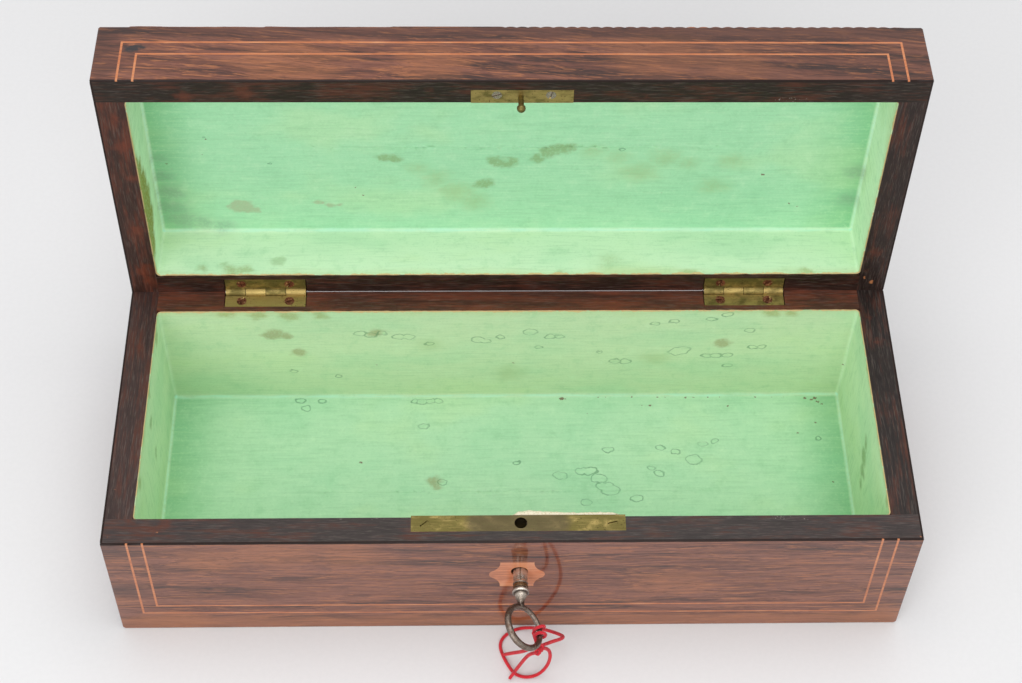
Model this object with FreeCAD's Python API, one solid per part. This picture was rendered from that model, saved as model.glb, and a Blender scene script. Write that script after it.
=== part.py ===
import FreeCAD, Part
import math
import os

# An antique glove box, standing with its lid open. Millimetres, +X to the right, +Y to the back,
# +Z up, origin at the centre of the underside of the base. Lid pieces are drawn closed and then
# turned open about the hinge line.

os.makedirs("parts", exist_ok=True)
V = FreeCAD.Vector

# Box
box_length = 300.0
box_width = 117.4
base_height = 62.5
lid_height = 28.5
board_thickness = 9.95
veneer_thickness = 0.8
paper_thickness = 0.25
bottom_board_thickness = 3.75
top_board_thickness = 3.1
open_angle = 92.0
fold_chamfer = 1.45
fold_gap_relief = 0.25
overrun = 1.0

# Lining paper
paper_corner_radius = 1.4
paper_edge_drop = 0.4
upright_share = 0.9

# Light stringing: centre lines, measured from the edges of the front
stringing_width = 0.8
stringing_depth = 0.5
stringing_side_spacing = 5.7
base_stringing_left_inset = 9.5
base_stringing_right_inset = 9.5
base_stringing_left_foot = 12.1
base_stringing_right_foot = 9.9
base_stringing_left_foot_spacing = 5.4
base_stringing_right_foot_spacing = 6.2
lid_stringing_left_inset = 9.4
lid_stringing_right_inset = 9.1
lid_stringing_left_head = 8.7
lid_stringing_right_head = 8.7
lid_stringing_head_spacing = 6.1

# Keyhole plate of light wood
escutcheon_shift = -1.15
escutcheon_height = 39.3
escutcheon_tall = 17.4
escutcheon_wide = 20.8
escutcheon_flat = 12.7
escutcheon_lobe_root = 17.2
escutcheon_lobe_tall = 5.6
escutcheon_cove_in = 13.6
escutcheon_cove_tall = 10.9

# Hinges
hinge_length = 31.75
hinge_left_inset = 53.2
hinge_right_inset = 56.5
leaf_reach = 7.45
leaf_thickness = 1.1
leaf_end_room = 0.4
knuckle_radius = 2.0
hinge_pin_radius = 0.7
hinge_pin_head = 0.15
knuckle_end_gap = 0.1
knuckle_room = 0.15
pin_room = 0.04
leaf_screw_spacing = 18.9
leaf_screw_setback = 4.65

# Slotted wood screws: hinge leaves, strike and selvedge, lock back plate
leaf_screw_head_radius = 1.95
leaf_screw_shank_radius = 0.85
leaf_screw_length = 9.0
strike_screw_head_radius = 1.85
strike_screw_shank_radius = 0.8
strike_screw_length = 8.0
plate_screw_head_radius = 1.5
plate_screw_shank_radius = 0.6
plate_screw_length = 5.2
screw_head_height_share = 0.55
screw_slot_width = 0.5
screw_slot_depth = 0.5
screw_room = 0.03

# Lock
lock_x = 2.5
lock_key_height = 41.6
selvedge_length = 78.7
selvedge_shift = -0.9
selvedge_setback = 4.7
selvedge_thickness = 1.2
selvedge_screw_inset = 4.8
back_plate_length = 45.0
back_plate_thickness = 0.75
back_plate_foot = 28.5
back_plate_screw_inset = 2.6
case_length = 40.0
case_sheet = 0.7
case_foot = 33.0
case_mortise_room = 0.2
stud_hole_radius = 2.35
drill_pin_radius = 0.9
drill_pin_length = 8.0

# Bolt, a plate with a fork that slides round the stud's neck
bolt_throw = 4.0
bolt_thickness = 1.6
bolt_back_gap = 0.2
bolt_left_leg = 7.0
bolt_right_leg = 4.0
bolt_window_room = 0.8
fork_thickness = 1.2
fork_front_gap = 0.4
fork_room = 0.25
fork_stud_gap = 0.35
fork_heel = 2.2
guide_stud_radius = 1.0
guide_slot_room = 0.15
guide_slot_wall = 1.6
guide_stud_head = 0.2
spring_thickness = 0.4
spring_width = 1.4
spring_length = 12.0
spring_rise_gap = 0.3

# Strike plate and stud on the lid
strike_length = 36.8
strike_shift = 0.5
strike_setback = 4.65
strike_width = 6.35
strike_thickness = 1.0
strike_screw_spacing = 19.4
strike_screw_shift = 0.6
strike_screw_setback_share = 0.4
stud_neck_radius = 1.0
stud_neck_length = 4.1
stud_head_radius = 1.6
stud_root = 0.9

# Keyhole
keyhole_radius = 3.2
keyhole_slot_width = 2.6
keyhole_room = 0.35
keyhole_shift = -0.3
keyhole_drop = 0.2

# Key: stations along the shank are distances in front of the box's face
key_radius = 2.7
key_bore_radius = 0.98
key_bore_depth = 11.0
key_inner_gap = 0.25
key_first_collar = 5.2
key_first_collar_radius = 2.85
key_groove = 5.9
key_groove_radius = 2.6
key_band = 6.2
key_band_radius = 2.85
key_second_groove = 7.6
key_second_collar = 8.0
key_second_collar_radius = 3.25
key_cone = 9.5
key_neck = 13.2
key_neck_radius = 1.25
key_neck_end = 15.0
key_seam_width = 0.5
key_seam_depth = 0.3
bit_reach = 7.0
bit_width = 4.0
bit_thickness = 1.8
bit_inner_gap = 0.35
bow_radius = 8.1
bow_wire_radius = 1.15
bow_tilt = 43.0
bow_shift = 1.0
bow_drop = 0.6

# Red string
string_radius = 0.7
knot_radius = 2.0
knot_turns = (-9.0, 11.0)
knot_wrap_room = 0.1
knot_place = (8.8, 27.3, 32.2)
arc_share = 0.45

# Places that follow from the sizes above
half_length = box_length / 2
hinge_left_x = -half_length + hinge_left_inset
hinge_right_x = half_length - hinge_right_inset
front_y = -box_width / 2
back_y = box_width / 2
fold_y = back_y - fold_chamfer
rim_z = base_height
top_z = base_height + lid_height
carcass_left = -half_length + veneer_thickness
carcass_right = half_length - veneer_thickness
carcass_front = front_y + veneer_thickness
carcass_back = back_y - veneer_thickness
room_left = carcass_left + board_thickness
room_right = carcass_right - board_thickness
room_front = carcass_front + board_thickness
room_back = carcass_back - board_thickness
floor_z = bottom_board_thickness
ceiling_z = top_z - veneer_thickness - top_board_thickness
half_fold = math.radians(open_angle / 2)
selvedge_x = lock_x + selvedge_shift
selvedge_bottom = rim_z - selvedge_thickness
selvedge_front = front_y + selvedge_setback
back_plate_front = room_front
back_plate_back = room_front + back_plate_thickness
case_front = selvedge_front + case_mortise_room
case_left = lock_x - case_length / 2
case_right = lock_x + case_length / 2
stud_y = (case_front + case_sheet + back_plate_front) / 2
key_z = lock_key_height
keyhole_x = lock_x + keyhole_shift
keyhole_z = key_z - keyhole_drop
key_inner_end = back_plate_front - key_inner_gap
bit_back = key_inner_end - bit_inner_gap
bit_front = bit_back - bit_width
bolt_back = back_plate_front - bolt_back_gap
bolt_front = bolt_back - bolt_thickness
stud_head_z = rim_z - stud_neck_length - stud_head_radius
fork_top = rim_z - stud_neck_length + stud_head_radius / 2
fork_left = lock_x - bolt_throw - stud_neck_radius - fork_room - fork_heel
fork_right = lock_x - stud_head_radius - fork_stud_gap
bolt_window_reach = bit_reach + bolt_window_room
bolt_window_top = key_z + bit_reach + bolt_window_room
bolt_foot = key_z + key_radius + bolt_window_room
bolt_left = lock_x - bolt_window_reach - bolt_throw - bolt_left_leg
bolt_right = lock_x + bolt_window_reach + bolt_right_leg
stud_way_foot = stud_head_z - stud_head_radius - fork_stud_gap
guide_z = (bolt_window_top + stud_way_foot) / 2
guide_reach = guide_stud_radius + guide_slot_room
guide_left_x = bolt_left + guide_slot_wall + bolt_throw + guide_reach
guide_right_x = bolt_right - guide_slot_wall - guide_reach
hinges = {"left": hinge_left_x, "right": hinge_right_x}

# The ring bow, bent a little out of line with the shank
bow_root = V(lock_x, front_y - key_neck_end, key_z)
bow_along = V(bow_shift, -bow_radius, -bow_drop).normalize()
bow_level = V(math.sin(math.radians(bow_tilt)), 0, math.cos(math.radians(bow_tilt)))
bow_normal = (bow_level - bow_along * bow_level.dot(bow_along)).normalize()
bow_across = bow_normal.cross(bow_along)
bow_centre = bow_root + bow_along * bow_radius

# The string's routes, from the knot outwards: X, distance in front of the box, height
string_loop_route = (
    (10.0, 25.9, 32.1),
    (14.4, 21.7, 27.5),
    (17.7, 17.6, 21.5),
    (19.3, 13.4, 15.5),
    (17.9, 9.9, 11.0),
    (14.8, 6.7, 7.6),
    (11.2, 3.8, 4.4),
    (6.4, 2.0, 2.2),
    (1.4, 2.1, 1.0),
    (-3.1, 4.9, 0.75),
    (-4.9, 8.8, 0.75),
    (-3.6, 13.5, 0.75),
    (-1.6, 17.6, 0.75),
    (0.9, 21.4, 0.75),
    (5.1, 22.8, 0.75),
    (9.6, 22.1, 1.6),
    (12.8, 21.1, 6.0),
    (14.2, 20.5, 13.0),
    (13.1, 22.0, 22.8),
    (10.2, 26.2, 30.9),
)
string_left_end_route = (
    (7.4, 26.3, 31.4),
    (5.7, 23.5, 25.0),
    (3.3, 20.3, 17.0),
    (0.1, 16.3, 8.5),
    (-3.0, 13.9, 2.7),
)
string_front_end_route = (
    (8.0, 28.0, 30.6),
    (6.0, 25.3, 25.0),
    (4.0, 23.5, 17.0),
    (2.0, 22.4, 9.0),
    (0.9, 21.3, 3.6),
    (-1.2, 23.3, 1.2),
)


def box(x0, x1, y0, y1, z0, z1):
    return Part.makeBox(x1 - x0, y1 - y0, z1 - z0, V(x0, y0, z0))


def prism(points, direction):
    """The solid of a closed outline of straight edges, pushed along a direction."""
    face = Part.Face(Part.makePolygon([V(*p) for p in points] + [V(*points[0])]))
    return face.extrude(direction)


def cylinder(radius, start, direction, length):
    return Part.makeCylinder(radius, length, start, direction)


def union(shapes):
    whole = shapes[0]
    if len(shapes) > 1:
        whole = whole.fuse(list(shapes[1:]))
    return whole.removeSplitter()


def without(shape, cutters):
    return shape.cut(list(cutters))


def closed_to_open(shape):
    """A copy of a lid piece, turned from closed to open about the hinge line."""
    turned = shape.copy()
    turned.rotate(V(0, fold_y, rim_z), V(1, 0, 0), -open_angle)
    return turned


# Back edges of base and lid

def chamfer_wedge(up, left, right, back_off):
    """What the chamfer takes off the base (up = -1) or the lid (up = 1) along the back edge."""
    start = fold_y - back_off
    far = back_y + overrun
    rise = (far - start) * math.tan(half_fold)
    points = [
        (left, start, rim_z),
        (left, far, rim_z + up * rise),
        (left, far, rim_z - up * overrun),
        (left, start, rim_z - up * overrun),
    ]
    return prism(points, V(right - left, 0, 0))


def knuckle_space(x):
    radius = knuckle_radius + knuckle_room
    length = hinge_length + 2 * leaf_end_room
    return cylinder(radius, V(x - length / 2, fold_y, rim_z), V(1, 0, 0), length)


def leaf_space(x, up):
    """The recess for one leaf, in the base (up = -1) or the lid (up = 1)."""
    low, high = sorted((rim_z, rim_z + up * leaf_thickness))
    reach = hinge_length / 2 + leaf_end_room
    return box(x - reach, x + reach, fold_y - leaf_reach, back_y, low, high)


def back_edge_cuts(up):
    gap_left = hinge_left_x + hinge_length / 2
    gap_right = hinge_right_x - hinge_length / 2
    cuts = [chamfer_wedge(up, -half_length - overrun, half_length + overrun, 0)]
    cuts.append(chamfer_wedge(up, gap_left, gap_right, fold_gap_relief))
    for x in hinges.values():
        cuts.append(knuckle_space(x))
    return cuts


# Screws

def screw_body(head_radius, shank_radius, length, room):
    """A countersunk screw pointing down, its head's top face at the origin."""
    head_height = head_radius * screw_head_height_share
    head = Part.makeCone(shank_radius + room, head_radius + room, head_height, V(0, 0, -head_height))
    shank_length = length - head_height + room
    shank = cylinder(shank_radius + room, V(0, 0, -head_height), V(0, 0, -1), shank_length)
    return union([head, shank])


def screw(head_radius, shank_radius, length):
    body = screw_body(head_radius, shank_radius, length, 0)
    half = screw_slot_width / 2
    slot = box(-head_radius, head_radius, -half, half, -screw_slot_depth, overrun)
    return without(body, [slot])


def placed(shape, point, down, turn):
    """A screw moved to a point, its shank along a direction and its slot turned about it."""
    moved = shape.copy()
    moved.rotate(V(0, 0, 0), V(0, 0, 1), turn)
    spin = FreeCAD.Rotation(V(0, 0, -1), down)
    moved.Placement = FreeCAD.Placement(point, spin).multiply(moved.Placement)
    return moved


def leaf_screw_points(x):
    half = leaf_screw_spacing / 2
    y = fold_y - leaf_screw_setback
    return [V(x - half, y, rim_z), V(x + half, y, rim_z)]


def strike_screw_points():
    half = strike_screw_spacing / 2
    y = front_y + strike_setback + strike_width * strike_screw_setback_share
    middle = lock_x + strike_shift + strike_screw_shift
    return [V(middle - half, y, rim_z), V(middle + half, y, rim_z)]


def selvedge_screw_points():
    y = stud_y
    reach = selvedge_length / 2 - selvedge_screw_inset
    return [V(selvedge_x - reach, y, rim_z), V(selvedge_x + reach, y, rim_z)]


def back_plate_screw_points():
    reach = back_plate_length / 2 - back_plate_screw_inset
    z = back_plate_foot + back_plate_screw_inset
    return [V(lock_x - reach, back_plate_back, z), V(lock_x + reach, back_plate_back, z)]


def screw_set(points, down, sizes, turns):
    solids = [placed(screw(*sizes), p, down, t) for p, t in zip(points, turns)]
    return Part.makeCompound(solids)


def screw_spaces(points, down, sizes):
    return [placed(screw_body(*sizes, screw_room), p, down, 0) for p in points]


leaf_screw_sizes = (leaf_screw_head_radius, leaf_screw_shank_radius, leaf_screw_length)
strike_screw_sizes = (strike_screw_head_radius, strike_screw_shank_radius, strike_screw_length)
plate_screw_sizes = (plate_screw_head_radius, plate_screw_shank_radius, plate_screw_length)
base_leaf_screws = leaf_screw_points(hinge_left_x) + leaf_screw_points(hinge_right_x)


# Stringing and the keyhole plate

def strip(start, end, back):
    """A straight strip of stringing between two points of the front, sunk from the face."""
    run = end - start
    side = V(-run.z, 0, run.x)
    side.normalize()
    side.multiply(stringing_width / 2)
    corners = [start + side, end + side, end - side, start - side]
    points = [(c.x, front_y, c.z) for c in corners]
    return prism(points, V(0, back, 0))


def open_rectangle(left, right, far_left, far_right, mouth, towards):
    """Three strips round three sides of a rectangle that is open at the rim.

    The two upright strips run from the rim past the corner, and the cross strip fits between.
    """
    half = stringing_width / 2
    past = V(0, 0, towards * half)
    foot_left = V(left, front_y, far_left)
    foot_right = V(right, front_y, far_right)
    upright_left = strip(V(left, front_y, mouth), foot_left + past, stringing_depth)
    upright_right = strip(V(right, front_y, mouth), foot_right + past, stringing_depth)
    cross = strip(foot_left, foot_right, stringing_depth)
    cross = without(cross, [upright_left, upright_right])
    return Part.makeCompound([upright_left, cross, upright_right])


def base_stringing(step):
    side = step * stringing_side_spacing
    return open_rectangle(
        -half_length + base_stringing_left_inset + side,
        half_length - base_stringing_right_inset - side,
        base_stringing_left_foot + step * base_stringing_left_foot_spacing,
        base_stringing_right_foot + step * base_stringing_right_foot_spacing,
        rim_z,
        -1,
    )


def lid_stringing(step):
    side = step * stringing_side_spacing
    head = step * lid_stringing_head_spacing
    return open_rectangle(
        -half_length + lid_stringing_left_inset + side,
        half_length - lid_stringing_right_inset - side,
        top_z - lid_stringing_left_head - head,
        top_z - lid_stringing_right_head - head,
        rim_z,
        1,
    )


def escutcheon_blank():
    """The keyhole plate's outline: flat head and foot, two lobes, four coves between them."""
    def at(x_size, z_size, x_sign, z_sign):
        x = lock_x + escutcheon_shift + x_sign * x_size / 2
        return V(x, front_y, escutcheon_height + z_sign * z_size / 2)

    edges = []
    for x_sign, z_sign in ((1, 1), (-1, -1)):
        corner = at(escutcheon_flat, escutcheon_tall, x_sign, z_sign)
        cove = at(escutcheon_cove_in, escutcheon_cove_tall, x_sign, z_sign)
        root = at(escutcheon_lobe_root, escutcheon_lobe_tall, x_sign, z_sign)
        tip = at(escutcheon_wide, 0, x_sign, z_sign)
        far_root = at(escutcheon_lobe_root, escutcheon_lobe_tall, x_sign, -z_sign)
        far_cove = at(escutcheon_cove_in, escutcheon_cove_tall, x_sign, -z_sign)
        far_corner = at(escutcheon_flat, escutcheon_tall, x_sign, -z_sign)
        next_corner = at(escutcheon_flat, escutcheon_tall, -x_sign, -z_sign)
        edges.append(Part.Arc(corner, cove, root).toShape())
        edges.append(Part.Arc(root, tip, far_root).toShape())
        edges.append(Part.Arc(far_root, far_cove, far_corner).toShape())
        edges.append(Part.LineSegment(far_corner, next_corner).toShape())
    return Part.Face(Part.Wire(edges)).extrude(V(0, veneer_thickness, 0))


def keyhole(depth):
    """The keyhole, a round hole over a slot, cut from the face inwards."""
    start = V(keyhole_x, front_y - overrun, keyhole_z)
    hole = cylinder(keyhole_radius, start, V(0, 1, 0), depth + overrun)
    half = keyhole_slot_width / 2
    foot = key_z - bit_reach - keyhole_room
    slot = box(lock_x - half, lock_x + half, front_y - overrun, front_y + depth, foot, keyhole_z)
    return union([hole, slot])


# Base

def base_front_wall():
    wall = box(carcass_left, carcass_right, carcass_front, room_front, floor_z, rim_z)
    mortise = box(
        case_left - case_mortise_room,
        case_right + case_mortise_room,
        case_front - case_mortise_room,
        room_front + overrun,
        case_foot - case_mortise_room,
        rim_z + overrun,
    )
    recess = box(
        selvedge_x - selvedge_length / 2,
        selvedge_x + selvedge_length / 2,
        selvedge_front,
        room_front + overrun,
        selvedge_bottom,
        rim_z + overrun,
    )
    cuts = [mortise, recess, keyhole(room_front - front_y)]
    cuts += screw_spaces(selvedge_screw_points(), V(0, 0, -1), strike_screw_sizes)
    cuts += screw_spaces(back_plate_screw_points(), V(0, -1, 0), plate_screw_sizes)
    return without(wall, cuts)


def base_back_wall():
    wall = box(room_left, room_right, room_back, carcass_back, floor_z, rim_z)
    cuts = back_edge_cuts(-1) + [leaf_space(x, -1) for x in hinges.values()]
    cuts += screw_spaces(base_leaf_screws, V(0, 0, -1), leaf_screw_sizes)
    return without(wall, cuts)


def base_end_wall(inner, outer):
    wall = box(inner, outer, room_front, carcass_back, floor_z, rim_z)
    return without(wall, back_edge_cuts(-1))


def base_bottom_board():
    return box(carcass_left, carcass_right, carcass_front, carcass_back, 0, floor_z)


def base_front_veneer():
    sheet = box(-half_length, half_length, front_y, carcass_front, 0, rim_z)
    cuts = [base_stringing(0), base_stringing(1), escutcheon_blank()]
    return without(sheet, cuts)


def base_back_veneer():
    sheet = box(-half_length, half_length, carcass_back, back_y, 0, rim_z)
    return without(sheet, back_edge_cuts(-1))


def base_side_veneer(inner, outer):
    sheet = box(inner, outer, carcass_front, carcass_back, 0, rim_z)
    return without(sheet, back_edge_cuts(-1))


def escutcheon():
    return without(escutcheon_blank(), [keyhole(veneer_thickness)])


# Lining paper

def rounded_well(low, high, margin):
    """The inside of the box between two heights, its upright corners rounded."""
    well = box(
        room_left + margin,
        room_right - margin,
        room_front + margin,
        room_back - margin,
        low,
        high,
    )
    upright = [e for e in well.Edges if abs(e.tangentAt(e.FirstParameter).z) > upright_share]
    return well.makeFillet(paper_corner_radius, upright)


def wall_paper(low, high):
    outside = box(room_left, room_right, room_front, room_back, low, high)
    return without(outside, [rounded_well(low - overrun, high + overrun, paper_thickness)])


def base_wall_paper():
    strip_back = room_front + paper_corner_radius
    reach = back_plate_length / 2
    half = selvedge_length / 2
    cuts = [
        box(lock_x - reach, lock_x + reach, room_front, strip_back, back_plate_foot, rim_z),
        box(selvedge_x - half, selvedge_x + half, room_front, strip_back, selvedge_bottom, rim_z),
    ]
    return without(wall_paper(floor_z, rim_z - paper_edge_drop), cuts)


def base_floor_paper():
    return rounded_well(floor_z, floor_z + paper_thickness, paper_thickness)


def lid_wall_paper():
    return without(wall_paper(rim_z + paper_edge_drop, ceiling_z), [strike_blank()])


def lid_ceiling_paper():
    return rounded_well(ceiling_z - paper_thickness, ceiling_z, paper_thickness)


# Lid, drawn closed

def lid_front_rail():
    rail = box(carcass_left, carcass_right, carcass_front, room_front, rim_z, ceiling_z)
    cuts = [strike_blank(), stud_solid()]
    cuts += screw_spaces(strike_screw_points(), V(0, 0, 1), strike_screw_sizes)
    return without(rail, cuts)


def lid_back_rail():
    rail = box(room_left, room_right, room_back, carcass_back, rim_z, ceiling_z)
    cuts = back_edge_cuts(1) + [leaf_space(x, 1) for x in hinges.values()]
    cuts += screw_spaces(base_leaf_screws, V(0, 0, 1), leaf_screw_sizes)
    return without(rail, cuts)


def lid_end_rail(inner, outer):
    rail = box(inner, outer, room_front, carcass_back, rim_z, ceiling_z)
    return without(rail, back_edge_cuts(1))


def lid_top_board():
    top = top_z - veneer_thickness
    return box(carcass_left, carcass_right, carcass_front, carcass_back, ceiling_z, top)


def lid_front_veneer():
    sheet = box(-half_length, half_length, front_y, carcass_front, rim_z, top_z - veneer_thickness)
    return without(sheet, [lid_stringing(0), lid_stringing(1)])


def lid_back_veneer():
    sheet = box(-half_length, half_length, carcass_back, back_y, rim_z, top_z - veneer_thickness)
    return without(sheet, back_edge_cuts(1))


def lid_side_veneer(inner, outer):
    sheet = box(inner, outer, carcass_front, carcass_back, rim_z, top_z - veneer_thickness)
    return without(sheet, back_edge_cuts(1))


def lid_top_veneer():
    return box(-half_length, half_length, front_y, back_y, top_z - veneer_thickness, top_z)


def strike_blank():
    middle = lock_x + strike_shift
    return box(
        middle - strike_length / 2,
        middle + strike_length / 2,
        front_y + strike_setback,
        front_y + strike_setback + strike_width,
        rim_z,
        rim_z + strike_thickness,
    )


def stud_solid():
    """The stud that the bolt catches: a neck out of the strike plate, ending in a bulb."""
    root = V(lock_x, stud_y, rim_z + strike_thickness + stud_root)
    neck_length = strike_thickness + stud_root + stud_neck_length + stud_head_radius
    neck = cylinder(stud_neck_radius, root, V(0, 0, -1), neck_length)
    head = Part.makeSphere(stud_head_radius, V(lock_x, stud_y, stud_head_z))
    return union([neck, head])


def strike_plate():
    cuts = [stud_solid()] + screw_spaces(strike_screw_points(), V(0, 0, 1), strike_screw_sizes)
    return without(strike_blank(), cuts)


# Hinges

def knuckle_stations(x):
    """The four knuckles from the left: lid, base, lid, base."""
    step = hinge_length / 4
    left = x - hinge_length / 2
    return [(left + i * step, left + (i + 1) * step) for i in range(4)]


def leaf(x, up, mine):
    """One leaf with its two knuckles; mine picks which of the four are its own."""
    low, high = sorted((rim_z, rim_z + up * leaf_thickness))
    left = x - hinge_length / 2
    right = x + hinge_length / 2
    plate = box(left, right, fold_y - leaf_reach, fold_y, low, high)
    solids = [plate]
    cuts = [cylinder(hinge_pin_radius + pin_room, V(left, fold_y, rim_z), V(1, 0, 0), hinge_length)]
    for i, (start, end) in enumerate(knuckle_stations(x)):
        if i % 2 == mine:
            begin = V(start + knuckle_end_gap, fold_y, rim_z)
            solids.append(cylinder(knuckle_radius, begin, V(1, 0, 0), end - start - 2 * knuckle_end_gap))
        else:
            begin = V(start - knuckle_end_gap, fold_y, rim_z)
            length = end - start + 2 * knuckle_end_gap
            cuts.append(cylinder(knuckle_radius + knuckle_room, begin, V(1, 0, 0), length))
    cuts += screw_spaces(leaf_screw_points(x), V(0, 0, up), leaf_screw_sizes)
    return without(union(solids), cuts)


def hinge_pin(x):
    length = hinge_length + 2 * hinge_pin_head
    return cylinder(hinge_pin_radius, V(x - length / 2, fold_y, rim_z), V(1, 0, 0), length)


# Lock

def lock_plate():
    """The selvedge on the rim and the back plate inside the wall, bent from one sheet."""
    half = selvedge_length / 2
    selvedge = box(
        selvedge_x - half,
        selvedge_x + half,
        selvedge_front,
        back_plate_back,
        selvedge_bottom,
        rim_z,
    )
    reach = back_plate_length / 2
    back_plate = box(
        lock_x - reach,
        lock_x + reach,
        back_plate_front,
        back_plate_back,
        back_plate_foot,
        selvedge_bottom,
    )
    hole_depth = selvedge_thickness + 2 * overrun
    hole = cylinder(stud_hole_radius, V(lock_x, stud_y, rim_z + overrun), V(0, 0, -1), hole_depth)
    cuts = [hole, drill_pin(pin_room), guide_studs()]
    cuts += screw_spaces(selvedge_screw_points(), V(0, 0, -1), strike_screw_sizes)
    cuts += screw_spaces(back_plate_screw_points(), V(0, -1, 0), plate_screw_sizes)
    return without(union([selvedge, back_plate]), cuts)


def lock_case():
    """An open-backed tray over the works, with the keyhole in its face."""
    outside = box(case_left, case_right, case_front, back_plate_front, case_foot, selvedge_bottom)
    inside = box(
        case_left + case_sheet,
        case_right - case_sheet,
        case_front + case_sheet,
        back_plate_front + overrun,
        case_foot + case_sheet,
        selvedge_bottom + overrun,
    )
    return without(outside, [inside, keyhole(case_front + case_sheet - front_y)])


def drill_pin(room):
    """The pin that the pipe key turns on, through the back plate, made thicker by a room."""
    length = back_plate_thickness + drill_pin_length
    start = V(lock_x, back_plate_back, key_z)
    return cylinder(drill_pin_radius + room, start, V(0, -1, 0), length)


def throw_mirrored(shape):
    """The bolt's works are drawn for a throw to the right, but the key throws it to the left."""
    return shape.mirror(V(lock_x, 0, 0), V(1, 0, 0))


def guide_studs():
    """Two studs that hold the bolt against the back plate and guide it sideways."""
    length = back_plate_back - bolt_front + guide_stud_head
    starts = [V(x, back_plate_back, guide_z) for x in (guide_left_x, guide_right_x)]
    studs = [cylinder(guide_stud_radius, p, V(0, -1, 0), length) for p in starts]
    return throw_mirrored(Part.makeCompound(studs))


def guide_slot(x):
    """The round-ended slot in the bolt, not thrown, for a guide stud at x."""
    depth = bolt_thickness + 2 * overrun
    low = guide_z - guide_reach
    high = guide_z + guide_reach
    middle = box(x - bolt_throw, x, bolt_front - overrun, bolt_back + overrun, low, high)
    near = cylinder(guide_reach, V(x, bolt_front - overrun, guide_z), V(0, 1, 0), depth)
    far = cylinder(guide_reach, V(x - bolt_throw, bolt_front - overrun, guide_z), V(0, 1, 0), depth)
    return union([middle, near, far])


def lock_bolt():
    """The bolt, not thrown: a plate with a window for the bit and a fork for the stud."""
    plate = box(bolt_left, bolt_right, bolt_front, bolt_back, bolt_foot, fork_top)
    window = box(
        lock_x - bolt_window_reach - bolt_throw,
        lock_x + bolt_window_reach,
        bolt_front - overrun,
        bolt_back + overrun,
        bolt_foot - overrun,
        bolt_window_top,
    )
    fork_front = case_front + case_sheet + fork_front_gap
    fork = box(fork_left, fork_right, fork_front, bolt_back, fork_top - fork_thickness, fork_top)
    neck = stud_neck_radius + fork_room
    mouth = box(
        fork_left + fork_heel,
        fork_right + overrun,
        stud_y - neck,
        stud_y + neck,
        stud_way_foot,
        fork_top + overrun,
    )
    head = stud_head_radius + fork_stud_gap
    head_way = box(
        lock_x - bolt_throw - head,
        fork_right + overrun,
        stud_y - head,
        stud_y + head,
        stud_way_foot,
        fork_top - fork_thickness,
    )
    stud_way = box(
        fork_right,
        bolt_right + overrun,
        bolt_front - overrun,
        bolt_back + overrun,
        stud_way_foot,
        fork_top + overrun,
    )
    cuts = [window, mouth, head_way, stud_way, guide_slot(guide_left_x), guide_slot(guide_right_x)]
    return throw_mirrored(without(union([plate, fork]), cuts))


def bolt_spring():
    """A bowed leaf on the bolt's top edge, pressing up under the selvedge."""
    left = bolt_left
    y0 = (bolt_front + bolt_back - spring_width) / 2
    low = V(left, y0, fork_top)
    high = V(left + spring_length / 2, y0, selvedge_bottom - spring_rise_gap)
    end = V(left + spring_length, y0, fork_top)
    drop = V(0, 0, -spring_thickness)
    upper = Part.Arc(low, high, end).toShape()
    step = V(spring_thickness, 0, 0)
    lower = Part.Arc(end - step, high + drop, low + step).toShape()
    side = Part.LineSegment(end, end - step).toShape()
    other = Part.LineSegment(low + step, low).toShape()
    spring = Part.Face(Part.Wire([upper, side, lower, other])).extrude(V(0, spring_width, 0))
    return throw_mirrored(spring)


# Key

def key_shank():
    """The turned shank from the bored inner end to the neck that carries the bow."""
    inner = front_y - key_inner_end
    stations = (
        (inner, key_radius),
        (key_first_collar, key_radius),
        (key_first_collar, key_first_collar_radius),
        (key_groove, key_first_collar_radius),
        (key_groove, key_groove_radius),
        (key_band, key_groove_radius),
        (key_band, key_band_radius),
        (key_second_groove, key_band_radius),
        (key_second_groove, key_groove_radius),
        (key_second_collar, key_groove_radius),
        (key_second_collar, key_second_collar_radius),
        (key_cone, key_second_collar_radius),
        (key_neck, key_neck_radius),
        (key_neck_end, key_neck_radius),
    )
    outline = [(lock_x, front_y - inner, key_z)]
    outline += [(lock_x + radius, front_y - d, key_z) for d, radius in stations]
    outline += [(lock_x, front_y - key_neck_end, key_z)]
    face = Part.Face(Part.makePolygon([V(*p) for p in outline + outline[:1]]))
    turned = face.revolve(V(lock_x, front_y, key_z), V(0, 1, 0), 360)
    bore = cylinder(key_bore_radius, V(lock_x, key_inner_end, key_z), V(0, -1, 0), key_bore_depth)
    half = key_seam_width / 2
    seam = box(
        lock_x - half,
        lock_x + half,
        front_y - key_first_collar,
        key_inner_end,
        key_z + key_radius - key_seam_depth,
        key_z + key_radius + overrun,
    )
    return without(turned, [bore, seam, bow_ring()])


def key_bit():
    half = bit_thickness / 2
    blade = box(lock_x - half, lock_x + half, bit_front, bit_back, key_z - bit_reach, key_z)
    length = bit_back - bit_front + 2 * overrun
    barrel = cylinder(key_radius, V(lock_x, bit_back + overrun, key_z), V(0, -1, 0), length)
    return without(blade, [barrel])


def bow_ring():
    return Part.makeTorus(bow_radius, bow_wire_radius, bow_centre, bow_normal)


def bow_point(turn):
    """A point on the ring's centre line, counted from its low side towards its outer end."""
    a = math.radians(turn)
    return bow_centre + bow_across * (bow_radius * math.cos(a)) + bow_along * (bow_radius * math.sin(a))


def bow_tangent(turn):
    a = math.radians(turn)
    return bow_along * math.cos(a) - bow_across * math.sin(a)


# String

def route_point(point):
    x, out, z = point
    return V(x, front_y - out, z)


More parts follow.
